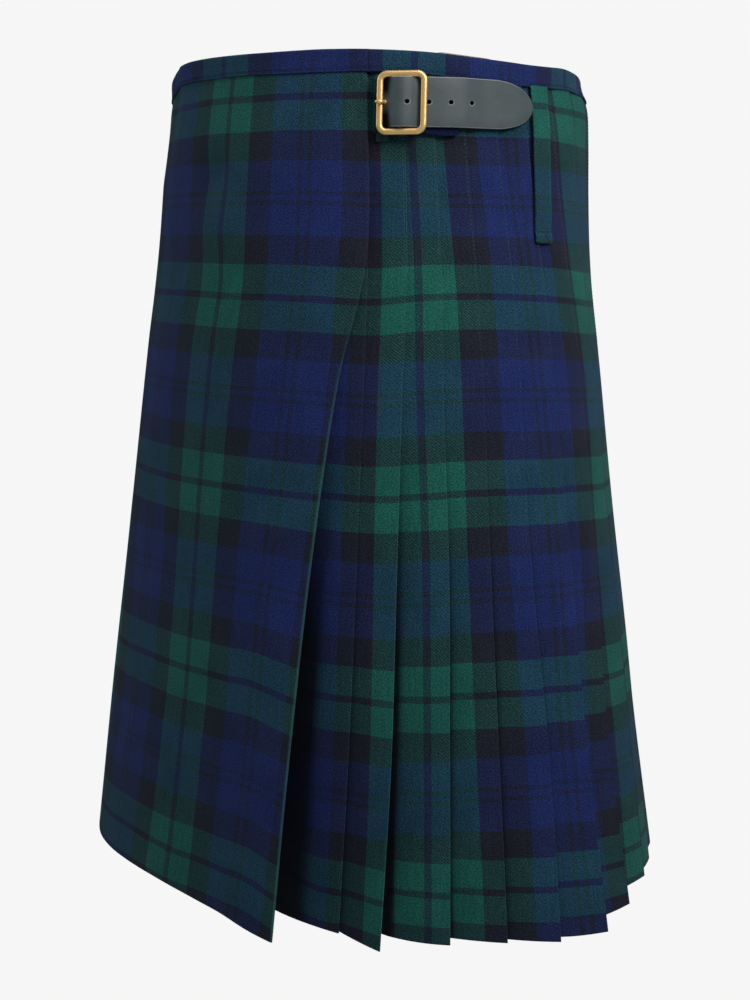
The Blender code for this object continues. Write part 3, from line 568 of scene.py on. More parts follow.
# The first pleats, one a row: azimuth of the fold edge at each EDGE_Z, share of the body line
# at which it stands at the hem, and how far in the pleat's face starts there, under the last.
EDGES = (
    ((48.6, 49.3, 48.8, 47.9, 46.0, 43.3), 0.900, 4.0),
    ((57.0, 58.2, 57.4, 56.7, 55.2, 52.6), 0.975, 5.0),
    ((63.7, 65.7, 66.0, 67.4, 67.0, 66.6), 0.907, 25.0),
    ((70.4, 73.7, 74.8, 76.0, 76.6, 77.2), 0.925, 12.0),
    ((78.0, 82.6, 83.7, 85.0, 86.2, 85.8), 0.983, 7.0),
    ((86.9, 91.7, 93.7, 95.7, 94.9, 94.9), 1.025, 9.0),
    ((96.6, 101.4, 104.4, 105.9, 104.1, 106.1), 0.977, 20.0),
    ((106.6, 111.0, 114.4, 116.0, 117.1, 118.0), 0.957, 20.0),
)
# Where the first one's cloth starts, behind the apron, and its share of the line at the hem.
FIRST_START, FIRST_OUT = (40.0, 39.0, 36.0, 30.0, 25.0, 22.0), 0.85
# The rest go evenly round to the last, their values at the hem taken in turn.
MORE_EDGES, LAST_EDGE = 21, (311.5, 311.0, 311.5, 313.0, 314.5, 316.0)
MORE_HEM = ((0.961, 5.0), (0.981, 5.0), (0.992, 7.0), (0.970, 18.0), (1.005, 8.0), (0.962, 16.0),
            (0.985, 9.0), (1.000, 13.0))
# Where each fold edge lies across the sett, and how much further on each of the rest lies.
EDGE_MM, NEXT_MM = (-31.0, -6.5, 14.9, 37.0, 57.5, 81.5, 109.0, 133.0), 24.6
SPREAD = 1.10                          # millimetres of surface to a millimetre of sett
GIRTH_AZ = np.arange(-180.0, 541.0, 1.0)       # once round, and half a turn to spare either way


def edge_table(z):
    """At one height: where the first pleat starts, and for each one its fold edge's azimuth
    and share of the body line, and how far in its face starts."""
    opened = ease(-z, 150.0, -HEM) * 0.35 + 0.65 * np.clip((-z - 170.0) / 390.0, 0, 1) ** 1.4
    shifted = np.clip((-z - 180.0) / 380.0, 0, 1) ** 1.3
    rows = [(float(through(EDGE_Z, a, z)), o, d) for a, o, d in EDGES]
    run = run_along(pleat_line(GIRTH_AZ, z)[0][None])[0]
    g0 = np.interp(rows[-1][0], GIRTH_AZ, run)
    g1 = np.interp(float(through(EDGE_Z, LAST_EDGE, z)), GIRTH_AZ, run)
    for i in range(MORE_EDGES):
        o, d = MORE_HEM[i % len(MORE_HEM)]
        g = g0 + (g1 - g0) * (i + 1) / MORE_EDGES
        rows.append((float(np.interp(g, run, GIRTH_AZ)), o, d))
    made = []
    for i, (az, o, d) in enumerate(rows):
        top = 2 * FOLD + (0.95 if i == 1 else 0.0)
        made.append((az, 1 + (o - 1) * shifted, top + max(d - top, 0.0) * opened))
    return (float(through(EDGE_Z, FIRST_START, z)), 1 + (FIRST_OUT - 1) * shifted), made


def gap(z):
    """From layer to layer inside a pleat."""
    return FOLD * (1 + 0.5 * float(ease(-z, 200.0, 480.0)))


def panel_off(steps, k, t, z):
    """How far inside the body line pleat k's face lies, at share t of its width."""
    if k == 1:
        return (0.95 + 1.15 * float(ease(-z, 150.0, 320.0))) + 0.6 * (1 - t)
    bow = 2.2 - 1.2 * ease(-z, 150.0, 420.0)
    return steps[k] * (1 - t) ** bow


def hidden_off(steps, k, t, z):
    """The same for its inner leg, which runs back under the pleat before it."""
    deep = max(steps[k], panel_off(steps, k - 1, TUCK, z) + 2 * gap(z))
    line = steps[k] + (deep - steps[k]) * (1 - t) / (1 - TUCK)
    return max(line, panel_off(steps, k - 1, t, z) + 2 * gap(z))


def turned_off(steps, k, t, z):
    """The same for the leg between them, turned under behind the pleat before it."""
    deep = hidden_off(steps, k, TUCK, z) - gap(z)
    lip = panel_off(steps, k - 1, 1.0, z) + gap(z)
    line = lip + (deep - lip) * (1 - t) / (1 - TUCK)
    line = max(line, panel_off(steps, k - 1, t, z) + gap(z))
    return min(line, hidden_off(steps, k, t, z) - gap(z))


# Places across a pleat's face, and the height at which the pleats' stitching ends.
FACE = (0.05, 0.11, 0.18, 0.26, 0.35, 0.45, 0.55, 0.65, 0.74, 0.82, 0.89, 0.94, 0.975)
STITCHED_TO = -158.0


def pleat_row(z, first, last):
    """One level of the pleated cloth, a row for each point: azimuth, share out, offset
    inwards, pleat, place across its panel, and 1 on the fold edge."""
    start, edges = edge_table(z)
    nodes = [start] + [e[:2] for e in edges]
    steps = [0.0] + [e[2] for e in edges]
    line = []

    def at(k, t, off, k_mark, mark, fold=0.0):
        (a, p), (b, q) = nodes[k - 1], nodes[k]
        line.append((a + (b - a) * t, p + (q - p) * t, off, k_mark, mark, fold))

    for k in range(first, last + 1):
        mm = 1.0 / max((nodes[k][0] - nodes[k - 1][0]) * (2.9 + 1.1 * float(drop(z))), 12.0)
        swell = 0.5 * math.sin(z / 47.0 + 2.3 * k) * float(ease(-z, 170.0, 330.0))
        if k > 1:
            for t in (0.65, 0.85):
                at(k - 1, t, hidden_off(steps, k, t, z) - WALL / 2, k, t - 1.0)
        at(k, 0.0, panel_off(steps, k, 0.0, z) - WALL / 2, k, 0.0)
        for t in FACE:
            off = panel_off(steps, k, t, z) - WALL / 2 - swell * math.sin(math.pi * t)
            at(k, t, off, k, t)
        lip = panel_off(steps, k, 1.0, z)
        for bend in np.radians(TURN):
            out = FOLD_R * (math.cos(bend) - 1) + WALL / 2
            off = lip + FOLD / 2 + FOLD_R * math.sin(bend)
            at(k, 1 + out * mm, off, k, 1.0 + bend * 1e-6, math.cos(bend))
        for t in (0.85, 0.65) + ((0.45, TUCK + 0.04) if k < last else ()):
            off = turned_off(steps, k + 1, t, z) if k < len(edges) else lip + FOLD
            at(k, t, off + WALL / 2, k, 2 - t)
        if k < last:
            at(k, TUCK, hidden_off(steps, k + 1, TUCK, z) - FOLD / 2, k + 1, TUCK - 1.001)
            at(k, TUCK + 0.04, hidden_off(steps, k + 1, TUCK, z) - WALL / 2, k + 1, TUCK - 0.96)
    return np.array(line)


def edge_mm(k):
    """Where fold edge k lies across the sett."""
    return EDGE_MM[k - 1] if k <= len(EDGE_MM) else EDGE_MM[-1] + NEXT_MM * (k - len(EDGE_MM))


# The shade beside a fold edge, for the later pleats and then for the first three: width in
# millimetres, depth of tone, and depth of the broad fainter shade beyond.
FOLD_SHADE = ((3.6, 0.72, 0.16), (10.5, 0.95, 0.18), (3.6, 0.40, 0.0), (4.6, 0.90, 0.14))


def depth_mark(line, z):
    """How far into the shadow of the fold before it each point of a level lies."""
    k, t = line[:, 3], line[:, 4]
    mm = 2.9 + 1.1 * float(drop(z))
    opened = float(ease(-z, 165.0, 400.0))
    start, edges = edge_table(z)
    at = np.array([start[0]] + [e[0] for e in edges])
    before = np.where(k == 1, through(EDGE_Z, APRON_EDGE, z), at[np.clip(k.astype(int) - 1, 0, len(at) - 1)])
    d = np.maximum((line[:, 0] - before) * mm, 0.0)
    row = np.where(k <= 3, k, 0).astype(int)
    narrow, amount, broad = np.array(FOLD_SHADE)[row].T
    narrow = narrow * (0.45 + 0.55 * opened)
    deep = opened * (amount * np.exp(-(d / narrow) ** 2.6) + broad * np.exp(-d / 18.0))
    # the turned and hidden layers inside the pleats get painted shade throughout
    return np.clip(np.where((t >= 0) & (t <= 1.0), deep, 0.9 * opened), 0, 0.95)


PLEATS_TOP = 28.0
BEHIND_APRON, APRON_EDGE_DROP = 49.1, 16.0     # before this azimuth the cloth starts lower


def pleated(name, first, last, rows, node):
    """One length of the pleated cloth, from its first pleat to its last."""
    levels, cloths, folds, painted_shades = [], [], [], []
    for v in rows_down(rows):
        z_mid = PLEATS_TOP + (HEM - PLEATS_TOP) * v
        line = pleat_row(z_mid, first, last)
        az = line[:, 0]
        top = rim(az) - np.where(az < BEHIND_APRON, APRON_EDGE_DROP, EDGE_DROP)
        z = top + (hem_z(az) - top) * v
        p, n = pleat_line(az, z)
        p = p * line[:, 1][:, None] - n * (line[:, 2] + WALL / 2 - FACE_OUT)[:, None]
        run = run_along(p[None])[0]
        u = np.empty(len(az))
        for k in range(first, last + 1):
            on = line[:, 3] == k
            at_edge = np.flatnonzero(on & (line[:, 4] == 1.0))[0]
            u[on] = edge_mm(k) + (run[on] - run[at_edge]) / SPREAD
        levels.append(np.column_stack([p, z]))
        cloths.append(np.column_stack([u, weft_mm(az, z)]))
        # paler on each fold edge but the first one's: partly wear, partly a painted highlight
        folds.append(0.5 * line[:, 5] * (line[:, 3] > 1))
        # painted shade beside each fold edge and inside the pleats
        painted_shades.append(depth_mark(line, z_mid))
    ob = shell(name, levels, cloths, wool, node, folds, painted_shades)
    return ob


pleats_left = pleated("pleats_left", 1, 10, 130, "pleats-left")
pleats_back = pleated("pleats_back", 11, 20, 90, "pleats-back")
pleats_right = pleated("pleats_right", 21, 29, 90, "pleats-right")

# ------------------------------------------------------------------------------------------
# Under-apron.
# The plain front panel that lies against the wearer, of the same cloth, behind the over-apron.
UNDER = (
    (30.0, 156.3, 124.8, 128.0, -1.0),
    (-30.0, 156.3, 129.8, 136.0, -3.0),
    (-150.0, 155.0, 134.0, 140.0, -5.0),
    (-300.0, 150.0, 138.0, 150.0, -9.0),
    (-440.0, 145.0, 140.0, 155.0, -9.0),
    (HEM, 140.0, 140.0, 160.0, -8.0),
)


def under_line(az, z):
    """Plan point and outward normal of the line that the under-apron follows."""
    return section(az, z, FRONT_ROUND, UNDER)


UNDER_COLS = 80
v = rows_down(70, 0.997)[:, None]
az = np.broadcast_to(np.linspace(-58.0, 58.0, UNDER_COLS), (len(v), UNDER_COLS))
top = rim(az) - 2.2
z = top + (HEM + 1.0 - top) * v
p, n = under_line(az, z)
wave = 0.4 * ease(-z, 80, 400) * np.sin(np.radians(az * 5.0) + z * 0.006)
p = p + n * (WALL / 2 + wave)[..., None]
u = run_along(p)
u = (u - u[:, UNDER_COLS // 2 - 1:UNDER_COLS // 2]) / SPREAD + 31.0
cloth = np.stack([u, weft_mm(az, z)], -1)
under_apron = shell("under_apron", with_height(p, z), cloth, wool, "under-apron")

# ------------------------------------------------------------------------------------------
# Waistband.
# A strip cut from the blue of the weft, laid over the top edges, turned under below and
# sewn through with a row of short stitches just above its lower edge.
BAND_H, SEWN_DOWN = 14.5, 12.9
# Round the waist, and which part of the sett is there.
BAND_AZ = (-62.0, -19.0, -11.3, 0.2, 11.7, 21.2, 44.2, 52.1, 59.2, 66.2, 72.0, 91.3, 97.4, 103.4, 312.0)
BAND_MM = (-139.0, -42.0, -22.0, 0.0, 22.0, 42.0, 91.0, 111.0, 133.0, 155.0, 175.0, 224.0, 244.0,
           266.0, 807.0)
# Down the strip: 0 on the outside leg, 1 over the top, 2 on the inside leg; depth below the rim.
BAND_PATH = ((2, 11.0), (2, 10.6), (2, 6.0), (2, 2.0), (1.9, 0.8), (1.6, 0.2), (1.0, 0.0), (0.4, 0.2),
             (0.1, 0.8), (0, 1.8), (0, 4.5), (0, 7.5), (0, 10.5), (0, 11.9), (0, 12.5), (0, SEWN_DOWN),
             (0, 13.3), (0, 13.9), (0, 14.3), (0.1, 14.7), (0.3, 14.8), (0.45, 14.4))


def band(name, az, mm, out_off, in_off, line_of, node):
    """A strip over the top edge, and the stitches that hold it."""
    az, mm, out_off, in_off = (np.asarray(a, float)[None, :] for a in (az, mm, out_off, in_off))
    side = np.array([s for s, _ in BAND_PATH])[:, None]
    down = np.array([d for _, d in BAND_PATH])[:, None]
    pull = 0.35 * np.exp(-((down - SEWN_DOWN) / 0.6) ** 2) * (side < 0.05)
    ripple = 0.16 * np.sin(np.radians(az * 11.0)) * np.sin(np.radians(az * 4.7 + 30.0)) * (down / BAND_H)
    off = out_off - (out_off + in_off) * side / 2 - pull + ripple * (side < 0.05)
    z = rim(az) - down + 0.25 * np.sin(np.radians(az * 8.3)) * (side < 0.5) * (down > 3)
    p, n = line_of(np.broadcast_to(az, off.shape), z)
    grid = with_height(p + n * off[..., None], z)
    step = np.abs(np.diff(down, axis=0)) + np.abs(np.diff(side, axis=0)) * 1.5
    lay = np.concatenate([[[0.0]], np.cumsum(step, 0)])
    cloth = np.stack(np.broadcast_arrays(mm, 44.0 + lay[-1] - lay), -1)
    ob = shell(name, grid, cloth, wool, node)
    row = BAND_PATH.index((0, SEWN_DOWN))
    sewn = stitches(name + "_stitches", grid[row], with_height(n, 0 * z)[row], pitch=2.3, length=1.45,
                    width=0.42, lift=0.30)
    return ob


def unit(v):
    """Rows of vectors, each made one long."""
    return v / np.linalg.norm(v, axis=1)[:, None]


def stitches(name, path, out, pitch, length, width, lift):
    """Short navy stitches along a line of points, standing on the cloth."""
    out = np.broadcast_to(out, path.shape)
    run = np.concatenate([[0], np.cumsum(np.linalg.norm(np.diff(path, axis=0), axis=1))])
    s = np.arange(pitch / 2, run[-1] - pitch / 4, pitch)
    a, b, up = (np.stack([np.interp(at, run, row) for row in rows.T], -1)
                for at, rows in ((s - length / 2, path), (s + length / 2, path), (s, out)))
    return thread(name, np.stack([a, b], 1), up, width, navy_thread, lift)


def thread(name, ends, up, width, mat, lift=0.05):
    """A stitch between the two points of each pair: a small plump strand of five sides."""
    a, b = np.moveaxis(np.asarray(ends, float), 1, 0)
    way = unit(b - a)
    across = unit(np.cross(way, up))
    up = np.cross(across, way)
    points = []
    for share, fat in ((0.0, 0.35), (0.25, 1.0), (0.75, 1.0), (1.0, 0.35)):
        centre = a + (b - a) * share + up * lift * fat
        for turn in np.radians([0, 72, 144, 216, 288]):
            points.append(centre + (across * math.cos(turn) + up * math.sin(turn) * 0.8) * width / 2 * fat)
    points = np.stack(points, 1)
    faces = [(j + i, j + (i + 1) % 5, j + 5 + (i + 1) % 5, j + 5 + i) for j in (0, 5, 10) for i in range(5)]
    faces += [(4, 3, 2, 1, 0), (15, 16, 17, 18, 19)]
    faces = [tuple(first + c for c in face) for first in range(0, 20 * len(a), 20) for face in faces]
    me = bpy.data.meshes.new(name)
    me.from_pydata((points.reshape(-1, 3) * MM).tolist(), [], faces)
    return dress(me, mat)


def thread_colour(name, colour):
    """Sewing thread, its plies a little darker here and there."""
    mat, t, skin = new_material(name, Roughness=0.75)
    place = t.nodes.new("ShaderNodeTexCoord")
    ply = range_node(t, noise_node(t, place.outputs["Object"], 900.0), 0.35, 0.65)
    t.links.new(mix_node(t, ply, tuple(0.7 * c for c in colour), colour), skin.inputs["Base Color"])
    return mat


navy_thread = thread_colour("navy thread", (0.012, 0.014, 0.050))
pale_thread = thread_colour("grey-green thread", (0.055, 0.100, 0.110))
black_thread = thread_colour("black thread", (0.012, 0.012, 0.016))

front_az = np.linspace(-61.6, 48.79, 190)
front_mm = np.interp(front_az, BAND_AZ, BAND_MM)
front_out = apron_lift(front_az, 26.0) + 1.0
front_in = -front_out + 3.1 + 1.9 * ease(front_az, 36.0, 42.0)
band("waistband_front", front_az, front_mm, front_out, front_in, apron_line, "waistband-front")
back_az = np.linspace(48.81, 311.2, 400)
back_mm = np.interp(back_az, BAND_AZ, BAND_MM)
back_out = 1.45 + 0.60 * (1 - ease(back_az, 49.0, 60.0))
back_in = 6.2 + 1.0 * (1 - ease(back_az, 57.0, 62.5))
waistband_back = band("waistband_back", back_az, back_mm, back_out, back_in, pleat_line, "waistband-back")
under_az = np.linspace(-57.7, 57.7, 150)
under_off = np.full(len(under_az), 1.9)
band("waistband_under", under_az, under_az * 2.6, under_off, under_off, under_line, "waistband-under")

# The pleats are sewn down from the waistband over the hips, in small stitches on each fold.
PLEAT_PITCH, PLEAT_HALF = 2.7, 0.65
ends, outs = [], []
for z in np.arange(STITCHED_TO, 11.0, PLEAT_PITCH):
    start, edges = edge_table(z)
    steps = [0.0] + [depth for _, _, depth in edges]
    for k, (az, share, _) in enumerate(edges[1:], 2):
        if z > rim(az) - BAND_H - 1.5:
            continue
        p, n = pleat_line(np.array([az - 0.42]), z)
        q = p[0] * share + n[0] * (FACE_OUT - panel_off(steps, k, 1.0, z))
        ends.append(((*q, z - PLEAT_HALF), (*q, z + PLEAT_HALF)))
        outs.append((*n[0], 0.0))
pleat_stitches = thread("pleat_stitches", ends, outs, 0.32, pale_thread)

# ------------------------------------------------------------------------------------------
# Waist lining.
# Tan cotton drill inside the waist, from under the waistband down over the seat seam.
drill, t, skin = new_material("cotton drill", Roughness=0.85)
weave, nap = use_group(t, twill, Pitch=0.9), use_group(t, fibre, Lint=(0.50, 0.44, 0.32, 1), Amount=0.35)
place = cloth_place(t)
t.links.new(place, weave.inputs[0])
t.links.new(place, nap.inputs[0])
t.links.new(mix_node(t, weave.outputs[0], (0.22, 0.165, 0.085), (0.33, 0.255, 0.14)), nap.inputs[1])
t.links.new(nap.outputs[0], skin.inputs["Base Color"])
t.links.new(bump_node(t, weave.outputs[1], 0.0002), skin.inputs["Normal"])

LINING_LOW, LINING_IN = -75.0, 7.5
v = np.concatenate([[0.0, 0.006], np.linspace(0.02, 0.98, 32), [0.994, 1.0]])[:, None]
az = np.broadcast_to(np.linspace(63.0, 298.0, 240), (len(v), 240))
peek = 2.7 * ease(az, 62.0, 66.0) * (1 - ease(az, 78.0, 84.0))     # it shows over the rim there
top = rim(az) - 1.2 + peek
z = top + (LINING_LOW - top) * v
p, n = pleat_line(az, z)
pucker = 0.5 * np.sin(np.radians(az * 9.0)) * ease(-z, -20.0, 60.0)
p = p - n * (LINING_IN - WALL / 2 + pucker)[..., None]
cloth = np.stack([run_along(p), z], -1)
waist_lining = shell("waist_lining", with_height(p, z), cloth, drill, "waist-lining")

# ------------------------------------------------------------------------------------------
# Waist straps.
# Black bridle leather, 31.5 mm wide with a half-round end, skived and burnished along its
# cut edges and punched with five holes; one at each hip.
GROUND, CLEAR, RIGHT_DROP = 0.55, 0.6, 4.0     # out to the cloth, air over it, right hip's lower
LEFT_AZ, RIGHT_AZ = 56.4, -82.0
STRAP_W, STRAP_T, STRAP_TIP, STRAP_EDGE = 31.5, 2.5, 31.0, 0.55
FIRST_HOLE, HOLE_PITCH, HOLE_R, PIN_HOLE = 4.0, 13.7, 1.5, -9.7
HOLES = tuple(FIRST_HOLE + HOLE_PITCH * k for k in range(4))
GIRTH0 = run_along(pleat_line(GIRTH_AZ, 0.0)[0][None])[0]


def on_waist(s, w, z, middle, side):
    """A point s round the waist from a buckle's middle, w out from the cloth."""
    s, w, z = np.broadcast_arrays(np.asarray(s, float), w, z)
    at = np.interp(np.interp(middle, GIRTH_AZ, GIRTH0) + s * side, GIRTH0, GIRTH_AZ)
    p, n = pleat_line(at, z)
    p = p + n * (GROUND + CLEAR + w)[..., None]
    return with_height(p, z - RIGHT_DROP * (side < 0))


def in_plane(s, w, z, middle, side):
    """The same for metal, which doesn't bend round the waist."""
    s, w, z = np.broadcast_arrays(np.asarray(s, float), w, z)
    p, n = pleat_line(middle, 0.0)
    along = np.array([-n[1], n[0]]) * side
    lean = (pleat_line(middle, 20.0)[0] - pleat_line(middle, -20.0)[0]) / 40.0
    q = p + n * (GROUND + CLEAR + w)[..., None] + along * s[..., None] + lean * z[..., None]
    return with_height(q, z - RIGHT_DROP * (side < 0))


def curve_through(points, per):
    """A smooth line through points, with so many steps from each to the next."""
    p = np.asarray(points, float)
    p = np.vstack([2 * p[0] - p[1], p, 2 * p[-1] - p[-2]])
    made = []
    for i in range(1, len(p) - 2):
        for t in np.arange(per) / per:
            a, b = 2 * p[i], p[i + 1] - p[i - 1]
            c = 2 * p[i - 1] - 5 * p[i] + 4 * p[i + 1] - p[i + 2]
            d = -p[i - 1] + 3 * p[i] - 3 * p[i + 1] + p[i + 2]
            made.append((a + b * t + c * t * t + d * t ** 3) / 2)
    made.append(p[-2])
    return np.array(made)


def body(name, rings, mat, node=None, uv=None, edge=None, loop=False, deep=None):
    """A closed body through rings of points, its ends filled unless it runs in a loop."""
    rings = np.asarray(rings, float)
    count, m = rings.shape[:2]
    i = np.arange(count * m).reshape(count, m)
    i = np.concatenate([i, i[:, :1]], 1)
    if loop:
        i = np.concatenate([i, i[:1]], 0)
    quads = np.stack([i[:-1, :-1], i[:-1, 1:], i[1:, 1:], i[1:, :-1]], -1).reshape(-1, 4)
    faces = quads.tolist() + ([] if loop else [i[0, :-1][::-1].tolist(), i[-1, :-1].tolist()])
    v = rings.reshape(-1, 3)
    if np.einsum("ij,ij->", v[quads[:, 0]], np.cross(v[quads[:, 1]], v[quads[:, 2]])) < 0:
        faces = [q[::-1] for q in faces]
    me = bpy.data.meshes.new(name)
    me.from_pydata((v * MM).tolist(), [], faces)
    if uv is not None:
        layer = me.uv_layers.new(name="cloth")
        corner = np.empty(len(me.loops), np.int32)
        me.loops.foreach_get("vertex_index", corner)
        layer.data.foreach_set("uv", np.asarray(uv, np.float32).reshape(-1, 2)[corner].ravel())
    return dress(me, mat, node, edge, deep)


# Grain and rubbed places, for leather and metal alike.
scuff, scuff_in, scuff_out = group("scuff", [("Place", "Vector"), ("Size", "Float")],
                                   [("Rubbed", "Float"), ("Grain", "Float")])
place, size = scuff_in.outputs[0], scuff_in.outputs[1]
broad = scuff.nodes.new("ShaderNodeTexNoise")
broad.inputs["Detail"].default_value, broad.inputs["Roughness"].default_value = 5.0, 0.65
pores = scuff.nodes.new("ShaderNodeTexVoronoi")
for texture, scale in ((broad, size), (pores, times(scuff, size, 14.0))):
    scuff.links.new(place, texture.inputs["Vector"])
    scuff.links.new(scale, texture.inputs["Scale"])
scuff.links.new(range_node(scuff, broad.outputs[0], 0.42, 0.72), scuff_out.inputs[0])
scuff.links.new(pores.outputs["Distance"], scuff_out.inputs[1])

leather, t, skin = new_material("black leather")
wear = use_group(t, scuff, Size=0.09)
place = cloth_place(t)
t.links.new(place, wear.inputs[0])
rubbed, grain = wear.outputs[0], wear.outputs[1]
in_shade = attribute_node(t, "deep")
# a paler ring round each punched hole, most at its lower side: a painted highlight where the raised rim
# catches the light; the same ring also raises the bump
along, up = in_parts(t, place)
from_first = math_node(t, "SUBTRACT", along, FIRST_HOLE - HOLE_PITCH / 2)
from_hole = math_node(t, "FRACT", math_node(t, "DIVIDE", from_first, HOLE_PITCH))
from_hole = times(t, math_node(t, "SUBTRACT", from_hole, 0.5), HOLE_PITCH)
near = math_node(t, "SQRT", math_node(t, "ADD", times(t, from_hole, from_hole), times(t, up, up)))
ring = times(t, range_node(t, near, 1.4, 1.6), range_node(t, near, 1.75, 2.3, 1.0, 0.0))
ring = times(t, ring, range_node(t, along, 50.0, 51.0, 1.0, 0.0))     # none past the last hole
below = math_node(t, "SUBTRACT", times(t, from_hole, 0.5), up)
ring = times(t, ring, range_node(t, below, -0.6, 1.2, 0.12, 1.0))
tone = mix_node(t, rubbed, (0.049, 0.068, 0.072), (0.060, 0.080, 0.084))
for share, colour in ((times(t, ring, 0.75), (0.26, 0.29, 0.29)),
                      (attribute_node(t, "edge"), (0.30, 0.32, 0.31)),
                      (in_shade, (0.002, 0.002, 0.003))):
    tone = mix_node(t, share, tone, colour)
t.links.new(tone, skin.inputs["Base Color"])
rough = math_node(t, "ADD", range_node(t, rubbed, 0.0, 1.0, 0.48, 0.58), times(t, in_shade, 0.5))
t.links.new(rough, skin.inputs["Roughness"])
t.links.new(range_node(t, in_shade, 0.0, 1.0, 0.36, 0.02), skin.inputs["Specular IOR Level"])
relief = math_node(t, "ADD", times(t, grain, 0.5), times(t, ring, 0.8))
t.links.new(bump_node(t, relief, 0.00012), skin.inputs["Normal"])


def cut_away(plain, tools, name, mat, node, angle=48.0):
    """The body less its tools, as a mesh of its own."""
    for tool in tools:
        cut = plain.modifiers.new(tool.name, "BOOLEAN")
        cut.operation, cut.solver, cut.object = "DIFFERENCE", "EXACT", tool
    me = bpy.data.meshes.new_from_object(plain.evaluated_get(bpy.context.evaluated_depsgraph_get()))
    me.name = name
    for extra in [plain] + tools:
        bpy.data.objects.remove(extra)
    me.materials.clear()
    ob = dress(me, mat, node)
    ob.data.set_sharp_from_angle(angle=math.radians(angle))
    return ob


def strap(name, path, middle, side, node):
    """A strap along (s, w), of one thickness, its edges rounded over."""
    line = curve_through(path, 7)
    end = line[-1, 0]
    tail = end - STRAP_TIP * (1 - np.cos(np.linspace(0, np.pi / 2, 44)[1:]))[::-1]
    keep = line[line[:, 0] < end - STRAP_TIP - 0.6]
    line = np.vstack([keep, np.column_stack([tail, np.interp(tail, line[:, 0], line[:, 1])])])
    way = unit(np.gradient(line, axis=0))
    up = np.stack([-way[:, 1], way[:, 0]], 1)
    left = np.clip((end - line[:, 0]) / STRAP_TIP, 0, 1)
    half = np.maximum(STRAP_W / 2 * (1 - (1 - left) ** 2.2) ** 0.5, 0.9)
    # round the strap's section: which edge, how far in from it, and how far up or down
    h, b = STRAP_T / 2, STRAP_EDGE
    corners = []
    for cy, cx, start in ((1, 1, 0), (1, -1, 90), (-1, -1, 180), (-1, 1, 270)):
        for a in np.radians(np.linspace(start, start + 90, 5)):
            corners.append((cx, b * (math.cos(a) - cx), (cy * (h - b) + b * math.sin(a))))
    upper, lower = ([(x, 0.0, y) for x in row] for y, row in ((h, (0.5, 0.0, -0.5)), (-h, (-0.5, 0.0, 0.5))))
    cx, dz, dh = np.array(corners[:5] + upper + corners[5:15] + lower + corners[15:]).T
    z = half[:, None] * cx[None, :] + dz[None, :]
    s = line[:, :1] + up[:, :1] * dh[None, :]
    w = line[:, 1:] + up[:, 1:] * dh[None, :]
    rings = on_waist(s, w, z, middle, side)
    uv = np.stack(np.broadcast_arrays(line[:, :1] + 0 * z, z), -1)
    # paler cut edges, as burnished leather is, less on the corner towards the cloth; the upper edge paler
    # than the lower, a painted highlight from light above
    rim_mark = np.where(np.abs(cx) == 1, np.clip((np.abs(dz) < 0.5) * 1.0 - (dh < 0) * 0.4, 0, 1), 0.0)
    rim_mark = np.broadcast_to(rim_mark, z.shape) * np.where(z > 0, 0.9, 0.7)
    # in the shadow of the frame, and again under its far side
    start = -9.1 + 4.4 * np.clip(np.abs(z) / 11.0, 0, 1) ** 0.7
    shade = 0.97 * (1 - ease(line[:, :1] - start, -1.6, 1.4))
    shade = np.maximum(shade, 0.8 * ease(line[:, :1], 11.2, 12.4) * (1 - ease(line[:, :1], 13.4, 14.4)))
    plain = body(name + "_plain", rings, leather, None, uv, rim_mark, deep=shade)
    punches = []
    turn = np.linspace(0, 2 * np.pi, 25)[:-1]
    for k, at in enumerate((PIN_HOLE,) + HOLES):
        i = int(np.argmin(np.abs(line[:, 0] - at)))
        at_w = np.interp(at, line[:, 0], line[:, 1])
        wide, tall = (2.6, 1.7) if k == 0 else (HOLE_R, HOLE_R)
        discs = []
        for d in (-4.0, 4.0):
            discs.append(on_waist(at + up[i, 0] * d + way[i, 0] * wide * np.cos(turn),
                                  at_w + up[i, 1] * d + way[i, 1] * wide * np.cos(turn),
                                  tall * np.sin(turn), middle, side))
        flat = np.zeros((2, len(turn), 2))
        punches.append(body(f"{name}_punch{k}", discs, leather, None, flat, flat[..., 0] + 0.05))
    return cut_away(plain, punches, name, leather, node)


# Along each strap and out from the cloth: up to the buckle, then over its bar to the tip.
LEFT_PATH = [(-15.0, 1.5), (-13.7, 1.55), (-12.0, 2.2)]
RIGHT_PATH = [(-77.0, 6.0), (-66.0, 6.0), (-57.0, 5.7), (-49.0, 3.6), (-40.0, 2.0), (-28.0, 1.4),
              (-16.0, 1.5), (-12.0, 2.2)]
AFTER = [(-9.7, 4.0), (-6.0, 6.8), (0.0, 9.1), (5.0, 8.2), (9.3, 5.9), (12.2, 4.85), (16.0, 4.65),
         (24.0, 4.6), (32.0, 4.6), (40.0, 4.3), (48.0, 3.0), (56.0, 2.3), (70.0, 2.5), (85.0, 3.6),
         (91.8, 4.2)]
strap("strap_left", LEFT_PATH + AFTER, LEFT_AZ, 1, "strap-left")
strap("strap_right", RIGHT_PATH + AFTER, RIGHT_AZ, -1, "strap-right")

# ------------------------------------------------------------------------------------------
# Buckles.
# Cast brass frames with rounded corners and a middle bar, polished and gone a little dull,
# each with a pin that hooks round the bar and rests on the frame.
BUCKLE_W, BUCKLE_H, BUCKLE_R, WIRE = 32.5, 40.4, 6.6, 4.15
LOW, HIGH, BAR = 5.3, 8.4, 4.7         # out from the cloth: near side, far side, middle bar
FRAME_ON, FRAME_DOWN = 1.2, 0.6        # the frame sits so far on and down from its bar's middle
EYE_R = 2.1                            # round the bar: the pin's eye, and the turn of the tab
HIPS = (("left", LEFT_AZ, 1), ("right", RIGHT_AZ, -1))

